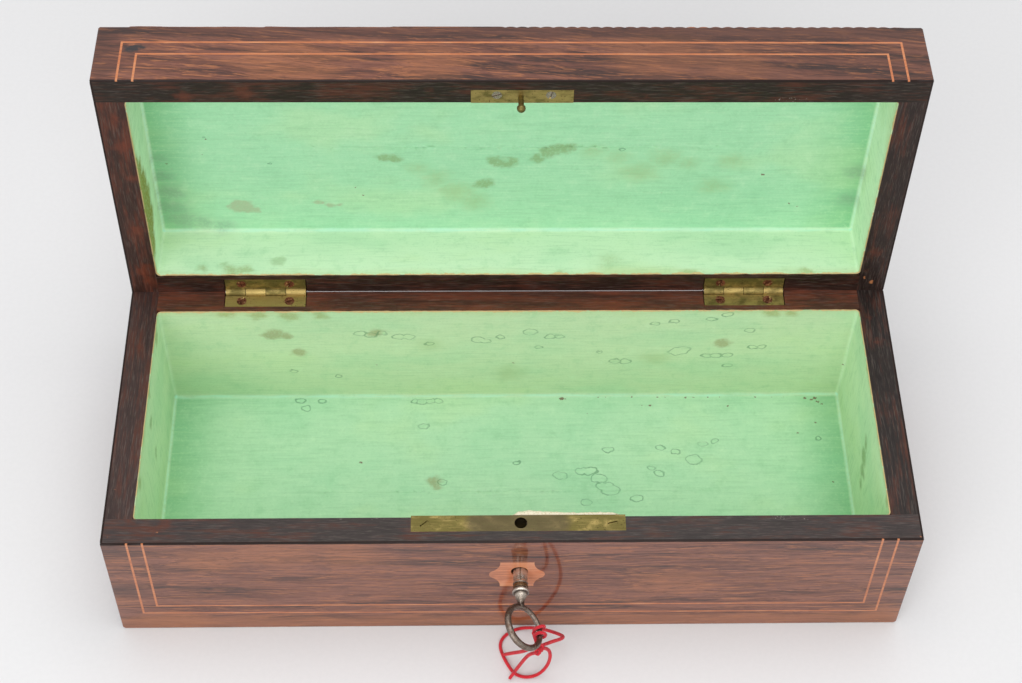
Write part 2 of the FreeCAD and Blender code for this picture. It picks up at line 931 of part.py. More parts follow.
def string_tube(name, route):
    """A tube of straight runs joined by tangent arcs along a route."""
    points = [route_point(p) for p in route]
    edges = []
    radii = []
    here = points[0]
    for before, corner, after in zip(points, points[1:], points[2:]):
        back = before - corner
        ahead = after - corner
        reach = min(back.Length, ahead.Length) * arc_share
        turn = math.pi - back.getAngle(ahead)
        radius = reach / math.tan(turn / 2)
        radii.append(radius)
        back.normalize()
        ahead.normalize()
        start = corner + back * reach
        end = corner + ahead * reach
        middle_way = back + ahead
        middle_way.normalize()
        middle = corner + middle_way * (radius / math.cos(turn / 2) - radius)
        edges.append(Part.LineSegment(here, start).toShape())
        edges.append(Part.Arc(start, middle, end).toShape())
        here = end
    edges.append(Part.LineSegment(here, points[-1]).toShape())
    length = sum(e.Length for e in edges)
    wire = Part.Wire(edges)
    section = Part.Wire([Part.Circle(points[0], points[1] - points[0], string_radius).toShape()])
    tube = wire.makePipeShell([section], True, False)
    share = tube.Volume / (math.pi * string_radius ** 2 * length)
    least = min(radii) / (2 * string_radius)
    print(name, "length", round(length, 1), "volume share", round(share, 4))
    print("arc radii", [round(r, 1) for r in radii], "least in diameters", round(least, 2))
    return without(tube, [string_knot()])


def string_knot():
    """Two turns round the bow's low side, a bridge between them and the tied knot below."""
    wrap_radius = bow_wire_radius + knot_wrap_room + string_radius
    solids = []
    outer = []
    for turn in knot_turns:
        solids.append(Part.makeTorus(wrap_radius, string_radius, bow_point(turn), bow_tangent(turn)))
        outward = (bow_point(turn) - bow_centre).normalize()
        outer.append(bow_point(turn) + outward * wrap_radius)
    bridge = outer[1] - outer[0]
    solids.append(cylinder(string_radius, outer[0], bridge, bridge.Length))
    below = bow_point(knot_turns[1]) - bow_normal * wrap_radius
    knot_centre = route_point(knot_place)
    drop = knot_centre - below
    solids.append(cylinder(string_radius, below, drop, drop.Length))
    solids.append(Part.makeSphere(knot_radius, knot_centre))
    return without(union(solids), [bow_ring()])


base_pieces = {
    "base_front_wall": base_front_wall(),
    "base_back_wall": base_back_wall(),
    "base_left_wall": base_end_wall(carcass_left, room_left),
    "base_right_wall": base_end_wall(room_right, carcass_right),
    "base_bottom_board": base_bottom_board(),
    "base_front_veneer": base_front_veneer(),
    "base_back_veneer": base_back_veneer(),
    "base_left_veneer": base_side_veneer(-half_length, carcass_left),
    "base_right_veneer": base_side_veneer(carcass_right, half_length),
    "base_outer_stringing": base_stringing(0),
    "base_inner_stringing": base_stringing(1),
    "escutcheon": escutcheon(),
    "base_wall_paper": base_wall_paper(),
    "base_floor_paper": base_floor_paper(),
}

lid_pieces = {
    "lid_front_rail": lid_front_rail(),
    "lid_back_rail": lid_back_rail(),
    "lid_left_rail": lid_end_rail(carcass_left, room_left),
    "lid_right_rail": lid_end_rail(room_right, carcass_right),
    "lid_top_board": lid_top_board(),
    "lid_front_veneer": lid_front_veneer(),
    "lid_back_veneer": lid_back_veneer(),
    "lid_left_veneer": lid_side_veneer(-half_length, carcass_left),
    "lid_right_veneer": lid_side_veneer(carcass_right, half_length),
    "lid_top_veneer": lid_top_veneer(),
    "lid_outer_stringing": lid_stringing(0),
    "lid_inner_stringing": lid_stringing(1),
    "lid_wall_paper": lid_wall_paper(),
    "lid_ceiling_paper": lid_ceiling_paper(),
    "strike_plate": strike_plate(),
    "strike_stud": stud_solid(),
    "strike_screws": screw_set(strike_screw_points(), V(0, 0, 1), strike_screw_sizes, (20, 75)),
    "hinge_lid_screws": screw_set(base_leaf_screws, V(0, 0, 1), leaf_screw_sizes, (10, 60, 80, 30)),
}

hardware_pieces = {
    "hinge_base_screws": screw_set(base_leaf_screws, V(0, 0, -1), leaf_screw_sizes, (70, 25, 5, 50)),
    "lock_plate": lock_plate(),
    "lock_case": lock_case(),
    "lock_guide_studs": guide_studs(),
    "lock_bolt": lock_bolt(),
    "lock_bolt_spring": bolt_spring(),
    "lock_drill_pin": drill_pin(0),
    "selvedge_screws": screw_set(selvedge_screw_points(), V(0, 0, -1), strike_screw_sizes, (40, 15)),
    "back_plate_screws": screw_set(back_plate_screw_points(), V(0, -1, 0), plate_screw_sizes, (0, 65)),
}

for side, x in hinges.items():
    hardware_pieces["hinge_" + side + "_base_leaf"] = leaf(x, -1, 1)
    hardware_pieces["hinge_" + side + "_pin"] = hinge_pin(x)
    lid_pieces["hinge_" + side + "_lid_leaf"] = leaf(x, 1, 0)

key_pieces = {
    "key_shank": key_shank(),
    "key_bit": key_bit(),
    "key_bow": bow_ring(),
    "string_knot": string_knot(),
    "string_loop": string_tube("string_loop", string_loop_route),
    "string_left_end": string_tube("string_left_end", string_left_end_route),
    "string_front_end": string_tube("string_front_end", string_front_end_route),
}

pieces = {**base_pieces, **hardware_pieces, **key_pieces}
for name, shape in lid_pieces.items():
    pieces[name] = closed_to_open(shape)

for name, shape in pieces.items():
    shape.exportStep(os.path.join("parts", name + ".step"))
    print(name, len(shape.Solids), "solids", round(shape.Volume, 2), "mm3", shape.isValid())
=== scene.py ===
"""An antique glove box with its lid open: veneered and lined, with brass hinges and a key on a string."""
import math
from itertools import product

import bmesh
import bpy
from mathutils import Matrix, Vector, noise


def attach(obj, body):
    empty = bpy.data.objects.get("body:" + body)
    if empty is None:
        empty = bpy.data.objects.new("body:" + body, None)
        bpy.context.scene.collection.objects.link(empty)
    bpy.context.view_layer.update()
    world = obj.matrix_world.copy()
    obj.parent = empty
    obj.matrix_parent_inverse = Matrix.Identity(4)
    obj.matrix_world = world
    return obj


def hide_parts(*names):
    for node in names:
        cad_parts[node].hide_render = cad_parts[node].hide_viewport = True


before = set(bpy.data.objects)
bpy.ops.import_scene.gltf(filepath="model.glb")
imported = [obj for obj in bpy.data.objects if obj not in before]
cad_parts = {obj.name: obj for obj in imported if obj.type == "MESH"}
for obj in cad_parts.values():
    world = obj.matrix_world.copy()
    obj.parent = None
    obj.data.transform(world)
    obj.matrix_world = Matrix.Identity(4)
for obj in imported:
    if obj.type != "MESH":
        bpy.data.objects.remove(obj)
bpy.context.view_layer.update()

bl_info = {
    "name": "Antique Glove Box",
    "version": (1, 0, 0),
    "blender": (4, 5, 0),
    "location": "View3D > Sidebar > Glove Box",
    "description": "Dresses the packed glove box with veneer, paper, brass, steel and string",
    "category": "Object",
}

MM = 0.001

# In millimetres: half the box's length, its front and back, the plane where base and lid meet, the top,
# the veneer's thickness and how far right of the middle the lock sits
HALF = 150.0
FRONT = -58.7
BACK = 58.7
RIM = 62.5
TOP = 91.0
VENEER = 0.8
LOCK_X = 2.5

# The room inside the paper: half its length and depth, its floor and ceiling, the torn edges' heights
LINING_X, LINING_Y = 139.0, 47.7
PAPER_FLOOR, PAPER_CEILING = 4.0, 86.8
BASE_MOUTH, LID_MOUTH = 62.1, 62.9

# A point on the hinges' line, in metres, and how the closed lid turns about it to stand open
HINGE = Vector((0.0, 0.05725, 0.0625))
LID_TURN = math.radians(92.0)
CLOSED_TO_OPEN = Matrix.Translation(HINGE) @ Matrix.Rotation(-LID_TURN, 4, "X") @ Matrix.Translation(-HINGE)


def mm(*point):
    """A point or size given in millimetres, in metres."""
    return Vector([value * MM for value in point])


# Colours

def linear(colour):
    """An sRGB hex colour as linear red, green, blue and alpha. Numbers are taken as linear already."""
    if not isinstance(colour, str):
        return list(colour)
    parts = [int(colour[i:i + 2], 16) / 255 for i in (1, 3, 5)]
    return [p / 12.92 if p <= 0.04045 else ((p + 0.055) / 1.055) ** 2.4 for p in parts] + [1.0]


def blended(first, second, share):
    """A colour part of the way from one to another."""
    return [a * (1 - share) + b * share for a, b in zip(linear(first), linear(second))]


# Sizes and colours that a user would change

def colour_setting(name, description, code):
    """A colour that a user can change, given by its hex code."""
    return bpy.props.FloatVectorProperty(
        name=name, description=description, subtype="COLOR", size=4, min=0, max=1, default=linear(code))


class GloveBoxWood(bpy.types.PropertyGroup):
    """Veneer, rims, stringing and keyhole plate"""

    dark_line: colour_setting("Dark line", "Near-black lines of the rosewood figure", "#2e130c")
    ground: colour_setting("Ground", "Purple-brown ground of the rosewood", "#6a3b2b")
    light_band: colour_setting("Light band", "Paler brown bands of the rosewood", "#83503e")
    streak: colour_setting("Streak", "Orange-brown streaks of the rosewood", "#a9683f")
    stain: colour_setting("Rim stain", "Dark stain of the rims", "#281c19")
    bare: colour_setting("Rubbed rim", "Red-brown wood where the stain is rubbed away", "#5a2e1f")
    stringing: colour_setting("Stringing", "Light lines in the front veneer", "#c2703f")
    plate: colour_setting("Keyhole plate", "Light plate round the keyhole", "#cd7f55")
    arris: bpy.props.FloatProperty(
        name="Worn arris", description="Radius of the rounded outer edges", unit="LENGTH",
        min=0.0, max=0.0007, default=0.00045)
    corner: bpy.props.FloatProperty(
        name="Worn corner", description="How far the outer corners are rubbed away", unit="LENGTH",
        min=0.0, max=0.0016, default=0.0015)


class GloveBoxLining(bpy.types.PropertyGroup):
    """Painted lining paper"""

    green: colour_setting("Green", "Mint green distemper on the base's floor", "#b8e0ba")
    ceiling: colour_setting("Ceiling green", "The distemper under the lid's top", "#a9dfb4")
    walls: colour_setting("Wall green", "The yellower distemper of the walls", "#cae0b8")
    lid_back: colour_setting("Lid's back wall", "The paler distemper of the lid's back wall", "#d6f0ce")
    cream: colour_setting("Raw edge", "Bare paper where the edge is torn", "#dcc08e")
    olive: colour_setting("Damp stain", "Olive stains", "#84a065")
    fillet: bpy.props.FloatProperty(
        name="Fold radius", description="Radius of the folds where paper turns from wall to floor",
        unit="LENGTH", min=0.0005, max=0.003, default=0.0018)


class GloveBoxMetal(bpy.types.PropertyGroup):
    """Brass of hinges and lock, steel of the key"""

    brass: colour_setting("Brass", "Dulled yellow brass", "#a8925a")
    tarnish: colour_setting("Tarnish", "Olive tarnish on the brass", "#6c6136")
    steel: colour_setting("Steel", "Worn steel of the key", "#a09386")
    rust: colour_setting("Rust", "Thin brown rust on steel", "#5a4030")


class GloveBoxString(bpy.types.PropertyGroup):
    """The red string tied to the key"""

    red: colour_setting("Red", "Dyed cotton", "#db2a38")
    diameter: bpy.props.FloatProperty(
        name="Diameter", description="Thickness of the string", unit="LENGTH",
        min=0.0012, max=0.0016, default=0.0014)
    lay: bpy.props.FloatProperty(
        name="Lay", description="Length of one twist of the string's three strands", unit="LENGTH",
        min=0.001, max=0.01, default=0.0024)


# Nodes and materials

# Makes spots longer along the grain; how far in front of the box a turned piece's banded colours reach:
# its own tone, painted highlights and painted shade
LONG_SPOTS = (0.6, 1, 1)
SHADED_BANDS_REACH = 16


def wire(tree, node, inputs):
    """Sets a node's inputs.

    A node given as a value is linked from its first output in use, and a hex colour is made linear.
    """
    for name, value in inputs.items():
        if isinstance(value, bpy.types.Node):
            value = next(output for output in value.outputs if output.enabled)
        if isinstance(value, bpy.types.NodeSocket):
            tree.links.new(value, node.inputs[name])
        else:
            node.inputs[name].default_value = linear(value) if isinstance(value, str) else value


def add(tree, kind, inputs=None, stops=None, **settings):
    """Adds a node with its settings, values and links; a colour ramp's stops are (place, colour) pairs."""
    made = tree.nodes.new("ShaderNode" + kind)
    for name, value in settings.items():
        setattr(made, name, value)
    if stops:
        ramp = made.color_ramp
        while len(ramp.elements) < len(stops):
            ramp.elements.new(0.5)
        for element, (place, colour) in zip(ramp.elements, stops):
            element.position = place
            element.color = linear(colour)
    wire(tree, made, inputs or {})
    return made


def new_material(name):
    """A material with an empty node tree."""
    material = bpy.data.materials.new(name)
    material.use_nodes = True
    material.node_tree.nodes.clear()
    return material, material.node_tree


def finished(material, colour, rough, relief, depth, strength=0.5, **more):
    """Gives a material its shader: colour, roughness, relief (a depth in metres) and what else is named."""
    tree = material.node_tree
    bump = add(tree, "Bump", {"Height": relief, "Distance": depth, "Strength": strength})
    shader = add(tree, "BsdfPrincipled", {"Base Color": colour, "Roughness": rough, "Normal": bump, **more})
    add(tree, "OutputMaterial", {"Surface": shader})
    return material


def place_mm(tree, on_lid=False, along="X"):
    """Place on the piece in millimetres. On the lid it is turned back to the closed lid.

    A piece whose grain runs front to back is turned, so that its grain runs along X too.
    """
    here = add(tree, "TexCoord").outputs["Object"]
    if on_lid:
        here = add(tree, "VectorRotate", {"Vector": here, "Center": HINGE, "Angle": LID_TURN},
                   rotation_type="X_AXIS")
    here = add(tree, "VectorMath", {0: here, "Scale": 1 / MM}, operation="SCALE")
    if along == "Y":
        here = add(tree, "VectorRotate", {"Vector": here, "Angle": math.pi / 2}, rotation_type="Z_AXIS")
    return here


def marks(tree, place, size, seed, detail=3.0, rough=0.6):
    """Cloudy marks of a real size in millimetres: along the grain, across it and up."""
    scaled = add(tree, "VectorMath", {0: place, 1: [1 / side for side in size]}, operation="MULTIPLY")
    return add(tree, "TexNoise", {"Vector": scaled, "W": seed, "Scale": 1.0, "Detail": detail,
                                  "Roughness": rough}, noise_dimensions="4D")


def wandering(tree, place, size, push, seed):
    """Place pushed about by slow marks, so that straight patterns wander."""
    drift = marks(tree, place, size, seed, 2.0, 0.5).outputs["Color"]
    centred = add(tree, "VectorMath", {0: drift, 1: (0.5, 0.5, 0.5)}, operation="SUBTRACT")
    return add(tree, "VectorMath", {0: centred, 1: push, 2: place}, operation="MULTIPLY_ADD")


def washed(tree, colour, layers):
    """A colour with others laid over it: (pattern, where it starts, where it is full, most, colour)."""
    for pattern, low, high, most, over in layers:
        share = add(tree, "MapRange", {0: pattern, 1: low, 2: high, 4: most},
                    interpolation_type="SMOOTHSTEP")
        colour = add(tree, "Mix", {0: share, 6: colour, 7: over}, data_type="RGBA")
    return colour


def on_plane(axis, level, spots):
    """Spots given by two coordinates and a radius, put on the plane where the third, an axis, has a level."""
    return [(*spot[:axis], level, *spot[axis:]) for spot in spots]


def nearest(tree, place, spots, squash=(1, 1, 1)):
    """Millimetres to the outline of the nearest round spot (x, y, z, radius), negative inside it.

    squash makes every length along an axis count for less, so that the spots stretch along it.
    """
    place = add(tree, "VectorMath", {0: place, 1: squash}, operation="MULTIPLY")
    found = None
    for *centre, radius in spots:
        centre = [value * share for value, share in zip(centre, squash)]
        off = add(tree, "VectorMath", {0: place, 1: centre}, operation="DISTANCE")
        gap = add(tree, "Math", {0: off, 1: radius}, operation="SUBTRACT")
        found = gap if found is None else add(tree, "Math", {0: gap, 1: found}, operation="MINIMUM")
    return found


def from_rim(tree, place):
    """Distance in millimetres from the plane where base and lid meet."""
    height = add(tree, "SeparateXYZ", {0: place}).outputs["Z"]
    off = add(tree, "Math", {0: height, 1: RIM}, operation="SUBTRACT")
    return add(tree, "Math", {0: off}, operation="ABSOLUTE")


def rosewood_french_polished(name, seed, on_lid=False, along="X", darker=0.0, slope=0.0, fleck=26, pale=(),
                             dark=(), ink=(), zones=()):
    """Rosewood, sliced into veneer and French polished.

    The eye sees orange-brown streaks 0.5 to 1 mm wide on a purple-brown ground, dark pores 0.15 mm wide
    that are drawn at 0.3 mm to show, and the weak mirror of the thin shellac film over them. Pale, dark and
    ink are spots on the front (x, z, radius). Zones are (axis, where one starts, where it is full, most,
    colour).
    """
    wood = bpy.context.scene.glove_box_wood
    material, tree = new_material(name)
    own = place_mm(tree, on_lid)
    place = place_mm(tree, on_lid, along)
    if slope:
        place = add(tree, "VectorRotate", {"Vector": place, "Angle": slope}, rotation_type="Y_AXIS")
    grain = wandering(tree, place, (65, 22, 22), (0, 8, 8), seed)
    grain = wandering(tree, grain, (14, 5, 5), (0, 1.5, 1.5), seed + 1)
    ground = marks(tree, grain, (70, 4, 4), seed + 2, 5.0, 0.7)
    lights = marks(tree, grain, (fleck, 0.7, 0.7), seed + 3, 3.0, 0.7)
    darks = marks(tree, grain, (24, 0.55, 0.55), seed + 4, 3.0, 0.7)
    pores = marks(tree, grain, (4.5, 0.3, 0.3), seed + 5, 1.0)
    tone = add(tree, "Math", {0: ground, 1: darker}, operation="SUBTRACT")
    colour = add(tree, "ValToRGB", {0: tone}, stops=(
        (0.36, wood.dark_line), (0.47, wood.ground), (0.58, wood.light_band)))
    ragged = wandering(tree, own, (18, 4, 4), (30, 5, 5), seed + 6)
    layers = []
    if pale:
        off = nearest(tree, ragged, on_plane(1, FRONT, pale), LONG_SPOTS)
        layers.append((off, 3, -4, 0.38, wood.streak))
    layers += [(lights, 0.5, 0.66, 0.9, wood.streak), (darks, 0.5, 0.64, 0.52, wood.dark_line),
               (pores, 0.58, 0.7, 0.4, wood.dark_line)]
    if zones:
        axes = add(tree, "SeparateXYZ", {0: ragged}).outputs
        layers += [(axes[axis], *rest) for axis, *rest in zones]
    if dark:
        off = nearest(tree, ragged, on_plane(1, FRONT, dark), LONG_SPOTS)
        layers.append((off, 3, -4, 0.55, wood.dark_line))
    if ink:
        blot = wandering(tree, own, (2.5, 2.5, 2.5), (4, 4, 4), seed)
        off = nearest(tree, blot, on_plane(1, FRONT, ink), LONG_SPOTS)
        layers.append((off, 0.9, -0.6, 0.93, "#171a20"))
    edge = add(tree, "Math", {0: lights, 1: from_rim(tree, own)}, operation="SUBTRACT")
    stained = add(tree, "MapRange", {0: edge, 1: -0.3, 2: 0.15}, interpolation_type="SMOOTHSTEP")
    layers.append((stained, 0.0, 1.0, 1.0, wood.stain))
    rough = add(tree, "MapRange", {0: pores, 1: 0.55, 2: 0.7, 3: 0.3, 4: 0.55})
    relief = add(tree, "Math", {0: lights, 1: pores}, operation="SUBTRACT")
    film = marks(tree, grain, (22, 2.4, 2.4), seed + 7)
    return finished(material, washed(tree, colour, layers), rough, relief, 0.00004, **{
        "IOR": 1.5, "Specular IOR Level": 0.1,
        "Coat Weight": add(tree, "MapRange", {0: stained, 3: 1.0, 4: 0.1}),
        "Coat Roughness": 0.09, "Coat IOR": 1.45,
        "Coat Normal": add(tree, "Bump", {"Height": film, "Distance": 0.00004, "Strength": 0.35})})


def softwood_dark_stained(name, seed, stain, bare, on_lid=False, along="X", red=0.0, rubbed=(), knocks=(),
                          dust=()):
    """Sawn and planed softwood under a nearly black stain.

    The stain is rubbed to red-brown in streaks 1 mm wide and at knocks; specks of white paint lie near the
    lining. Rubbed, knocks and dust are spots on the rim (x, y, radius).
    """
    material, tree = new_material(name)
    own = place_mm(tree, on_lid)
    grain = wandering(tree, place_mm(tree, on_lid, along), (60, 20, 20), (0, 3, 3), seed)
    streaks = marks(tree, grain, (24, 1.0, 1.0), seed + 1, 4.0)
    worn = marks(tree, grain, (16, 5, 5), seed + 2, 4.0)
    fibre = marks(tree, grain, (6, 0.35, 0.35), seed + 3, 2.0)
    grit = marks(tree, own, (0.7, 0.7, 0.7), seed + 4, 2.0)
    mean = add(tree, "Math", {0: streaks, 1: 0.5, 2: red / 2}, operation="MULTIPLY_ADD")
    share = add(tree, "Math", {0: worn, 1: 0.6, 2: mean}, operation="MULTIPLY_ADD")
    colour = add(tree, "ValToRGB", {0: share}, stops=(
        (0.42, blended(stain, "#000000", 0.25)), (0.52, stain), (0.62, blended(stain, bare, 0.45)),
        (0.78, bare)))
    layers = [(fibre, 0.5, 0.68, 0.35, blended(stain, "#b3a49a", 0.25))]
    ragged = wandering(tree, own, (2.2, 2.2, 2.2), (5, 5, 5), seed + 5)
    if rubbed:
        off = add(tree, "MapRange", {0: nearest(tree, ragged, on_plane(2, RIM, rubbed)), 1: 2.5, 2: -2.5})
        rub = add(tree, "Math", {0: off, 1: worn}, operation="MULTIPLY")
        layers += [(rub, 0.2, 0.6, 0.7, bare), (rub, 0.55, 0.7, 0.4, "#8a5238")]
    if knocks:
        layers.append((nearest(tree, ragged, on_plane(2, RIM, knocks)), 0.4, -0.3, 0.8, "#b8764c"))
    if dust:
        off = nearest(tree, own, on_plane(2, RIM, dust), (0.15, 1, 1))
        near = add(tree, "MapRange", {0: off, 1: 0.6, 2: -0.8})
        speck = add(tree, "Math", {0: near, 1: grit}, operation="MULTIPLY")
        layers.append((speck, 0.58, 0.7, 0.55, "#a79b94"))
    rough = add(tree, "MapRange", {0: streaks, 1: 0.35, 2: 0.65, 3: 0.34, 4: 0.52})
    relief = add(tree, "Math", {0: fibre, 1: streaks}, operation="ADD")
    return finished(material, washed(tree, colour, layers), rough, relief, 0.00008, 0.6,
                    **{"IOR": 1.5, "Specular IOR Level": 0.25})


def lightwood_polished(name, colour, seed, on_lid=False):
    """Box or pear wood, straight-grained, polished with the veneer round it: fine lines 0.6 mm apart."""
    material, tree = new_material(name)
    place = place_mm(tree, on_lid)
    fine = marks(tree, place, (9, 0.6, 0.6), seed)
    patches = marks(tree, place, (14, 14, 14), seed + 1)
    tone = add(tree, "Math", {0: fine, 1: patches}, operation="ADD")
    half = add(tree, "Math", {0: tone, 1: 0.5}, operation="MULTIPLY")
    shades = ((0.36, blended(colour, "#6a3014", 0.5)), (0.5, colour),
              (0.66, blended(colour, "#f0bd8a", 0.3)))
    return finished(material, add(tree, "ValToRGB", {0: half}, stops=shades), 0.4, fine, 0.00003,
                    **{"Specular IOR Level": 0.15, "Coat Weight": 1.0, "Coat Roughness": 0.1})


def paper_distempered(name, seed, floor, back, sides, back_fold, on_lid=False, stains_and_shade=(), blisters=(),
                      flecks=()):
    """Cheap paper, pasted in and brushed with matt green distemper.

    The eye sees brush marks 1.3 mm wide, olive damp staining, the dark outlines of glue blisters and a torn
    cream edge about 1 mm wide at the mouth. The colour also holds painted light: painted shade, darker green
    towards both ends, and painted highlights, bluish lines along the folds. Stains, one of them in the lid
    a soft painted shade, are (softness in millimetres, most, colour or None for the setting, spots).
    """
    settings = bpy.context.scene.glove_box_lining
    material, tree = new_material(name)
    place = place_mm(tree, on_lid)
    axes = add(tree, "SeparateXYZ", {0: place}).outputs
    across = add(tree, "Math", {0: axes["X"]}, operation="ABSOLUTE")
    broad = marks(tree, place, (60, 40, 24), seed)
    lengthwise = marks(tree, place, (13, 0.9, 0.9), seed + 1)
    upright = marks(tree, place, (1.2, 1.2, 13), seed + 2)
    on_side = add(tree, "MapRange", {0: across, 1: 137, 2: 138.5})
    brush = add(tree, "Mix", {0: on_side, 6: lengthwise, 7: upright}, data_type="RGBA")
    grit = marks(tree, place, (0.9, 0.9, 0.9), seed + 3, 2.0)
    mottle = marks(tree, place, (6, 6, 6), seed + 4, 4.0, 0.7)
    # Painted highlights: bluish lines along the fold where the back wall meets the floor or ceiling, and
    # along the folds at the feet of the two end walls.
    fold = wandering(tree, place, (9, 1.2, 1.2), (0, 1.4, 1.4), seed + 9)
    level = 4.9 if back_fold < RIM else back_fold - 0.9
    crease_highlight = nearest(tree, fold, ((0, 46.8, level, 0.5),), (0, 1, 1))
    ends = nearest(tree, fold, ((138.2, 0, level, 0.4), (-138.2, 0, level, 0.4)), (1, 0, 1))
    # The first layer is painted shade: a darker green over the last 27 mm towards both ends, where the
    # corners shade the paper.
    layers = [
        (across, 112.0, 139.0, 0.55, "#78ba86"), (axes["Y"], 46.0, 47.4, 1.0, back),
        (axes["Y"], -46.0, -47.4, 1.0, sides), (across, 137.3, 138.8, 1.0, sides),
        (broad, 0.52, 0.36, 0.22, "#8fd0a6"), (broad, 0.52, 0.68, 0.25, "#cfe6ae"),
        (mottle, 0.5, 0.32, 0.2, "#86c191"), (mottle, 0.52, 0.7, 0.2, "#d3f0cb"),
        (brush, 0.5, 0.34, 0.16, "#7fb488"), (brush, 0.52, 0.68, 0.16, "#d8f2cc"),
        (grit, 0.55, 0.68, 0.14, "#e0f4d6"), (grit, 0.45, 0.32, 0.12, "#7fb184"),
        (crease_highlight, 0.5, -0.3, 0.6, "#b3ecd2"), (ends, 0.5, -0.3, 0.5, "#b9efdc")]
    ragged = wandering(tree, place, (7, 5, 5), (9, 6, 6), seed + 5)
    # Each entry tints the paper round its spots: a stain, or in the lid one soft painted shade.
    for soft, most, over, spots in stains_and_shade:
        off = nearest(tree, ragged, spots, (0.75, 1, 1))
        share = add(tree, "MapRange", {0: off, 1: soft + 0.5, 2: 0.5 - soft},
                    interpolation_type="SMOOTHSTEP")
        grainy = add(tree, "Math", {0: share, 1: grit}, operation="MULTIPLY")
        layers.append((grainy, 0.0, 0.56, most, over or settings.olive))
    if blisters:
        bent = wandering(tree, place, (3.6, 3.6, 3.6), (3.2, 3.2, 3.2), seed + 6)
        outline = add(tree, "Math", {0: nearest(tree, bent, blisters, (0.62, 1, 1))}, operation="ABSOLUTE")
        drawn = add(tree, "MapRange", {0: outline, 1: 0.42, 2: 0.12})
        uneven = add(tree, "Math", {0: drawn, 1: mottle}, operation="MULTIPLY")
        layers.append((uneven, 0.15, 0.66, 0.62, "#4f8560"))
    if flecks:
        flaked = wandering(tree, place, (0.9, 0.9, 0.9), (1.6, 1.6, 1.6), seed + 7)
        layers.append((nearest(tree, flaked, flecks, (0.7, 1, 1)), 0.12, -0.12, 0.8, "#74483a"))
    rim = from_rim(tree, place)
    torn = marks(tree, place, (7, 7, 60), seed + 8, 5.0, 0.7)
    tear = add(tree, "Math", {0: torn, 1: 5.0, 2: -1.55}, operation="MULTIPLY_ADD")
    edge = add(tree, "Math", {0: tear, 1: rim}, operation="SUBTRACT")
    below = add(tree, "Math", {0: rim, 1: 12.0}, operation="DIVIDE")
    grime = add(tree, "Math", {0: broad, 1: below}, operation="SUBTRACT")
    layers += [(grime, 0.1, 0.6, 0.35, "#b9ba70"), (edge, -0.12, 0.1, 1.0, settings.cream),
               (edge, 1.0, 1.4, 0.6, "#b5603a")]
    relief = add(tree, "Math", {0: brush, 1: grit}, operation="ADD")
    colour = washed(tree, floor, layers)
    return finished(material, colour, 0.85, relief, 0.00008, **{"Specular IOR Level": 0.3})


def brass_dulled(name, seed, on_lid=False, tarnished=0.5, shaded_hole=None, greyed=(), dull=0.0):
    """Rolled brass, handled and dulled: scratches 0.35 mm apart along it, olive tarnish in patches."""
    metal = bpy.context.scene.glove_box_metal
    material, tree = new_material(name)
    place = place_mm(tree, on_lid)
    patches = marks(tree, place, (6, 3.5, 3.5), seed, 4.0)
    scratches = marks(tree, place, (9, 0.35, 0.35), seed + 1)
    pits = marks(tree, place, (0.7, 0.7, 0.7), seed + 2, 2.0)
    low = 0.68 - tarnished * 0.5
    layers = [(patches, low, low + 0.3, 1.0, metal.tarnish), (scratches, 0.56, 0.7, 0.3, "#c4ab70"),
              (scratches, 0.46, 0.34, 0.35, "#5c4f2a"), (pits, 0.6, 0.7, 0.75, "#41361d")]
    if greyed:
        shifted = wandering(tree, place, (5, 5, 5), (4, 4, 4), seed)
        layers.append((nearest(tree, shifted, greyed), 2, -2, 0.8, "#5a4f3a"))
    # Painted shade: the bore given here is painted near black, for the shade inside it.
    if shaded_hole:
        layers.append((nearest(tree, place, shaded_hole), 0.1, -0.1, 1.0, "#0b0908"))
    rough = add(tree, "MapRange", {0: patches, 1: 0.35, 2: 0.65, 3: 0.34 + dull, 4: 0.5 + dull})
    relief = add(tree, "Math", {0: scratches, 1: pits}, operation="SUBTRACT")
    return finished(material, washed(tree, metal.brass, layers), rough, relief, 0.00006, Metallic=0.9)


def screw_gone_brown(name, seed, on_lid=False):
    """Brass screws gone copper-brown with handling: dark dirt, bright spots 0.5 mm across."""
    material, tree = new_material(name)
    patches = marks(tree, place_mm(tree, on_lid), (1.1, 1.1, 1.1), seed, 4.0, 0.7)
    colour = add(tree, "ValToRGB", {0: patches}, stops=(
        (0.34, "#2b1a14"), (0.46, "#744534"), (0.58, "#94604c"), (0.7, "#d8c08c")))
    return finished(material, colour, 0.4, patches, 0.0003, 0.7, Metallic=0.8)


def steel_worn(name, seed, colour, on_lid=False, rusty=0.4, tone_and_shade_bands=()):
    """Filed and handled mild steel: bright on its high places, thin brown rust between them.

    Bands are (distance in front of the box in millimetres, colour) pairs along a turned piece; their colours
    are partly its own tone and partly painted highlights and painted shade.
    """
    material, tree = new_material(name)
    place = place_mm(tree, on_lid)
    patches = marks(tree, place, (1.8, 1.8, 1.8), seed, 5.0, 0.7)
    filed = marks(tree, place, (0.35, 2.4, 0.35), seed + 1)
    if tone_and_shade_bands:
        axes = add(tree, "SeparateXYZ", {0: place}).outputs
        depth = add(tree, "MapRange", {0: axes["Y"], 1: FRONT, 2: FRONT - SHADED_BANDS_REACH})
        colour = add(tree, "ValToRGB", {0: depth}, stops=[(out / SHADED_BANDS_REACH, code) for out, code in tone_and_shade_bands])
    low = 0.64 - rusty * 0.4
    colour = washed(tree, colour, (
        (patches, low, low + 0.22, 0.85, bpy.context.scene.glove_box_metal.rust),
        (filed, 0.55, 0.7, 0.5, "#cfc6ba")))
    rough = add(tree, "MapRange", {0: patches, 1: low, 2: low + 0.22, 3: 0.24, 4: 0.5})
    relief = add(tree, "Math", {0: filed, 1: patches}, operation="ADD")
    return finished(material, colour, rough, relief, 0.00025, 0.6, Metallic=0.9)


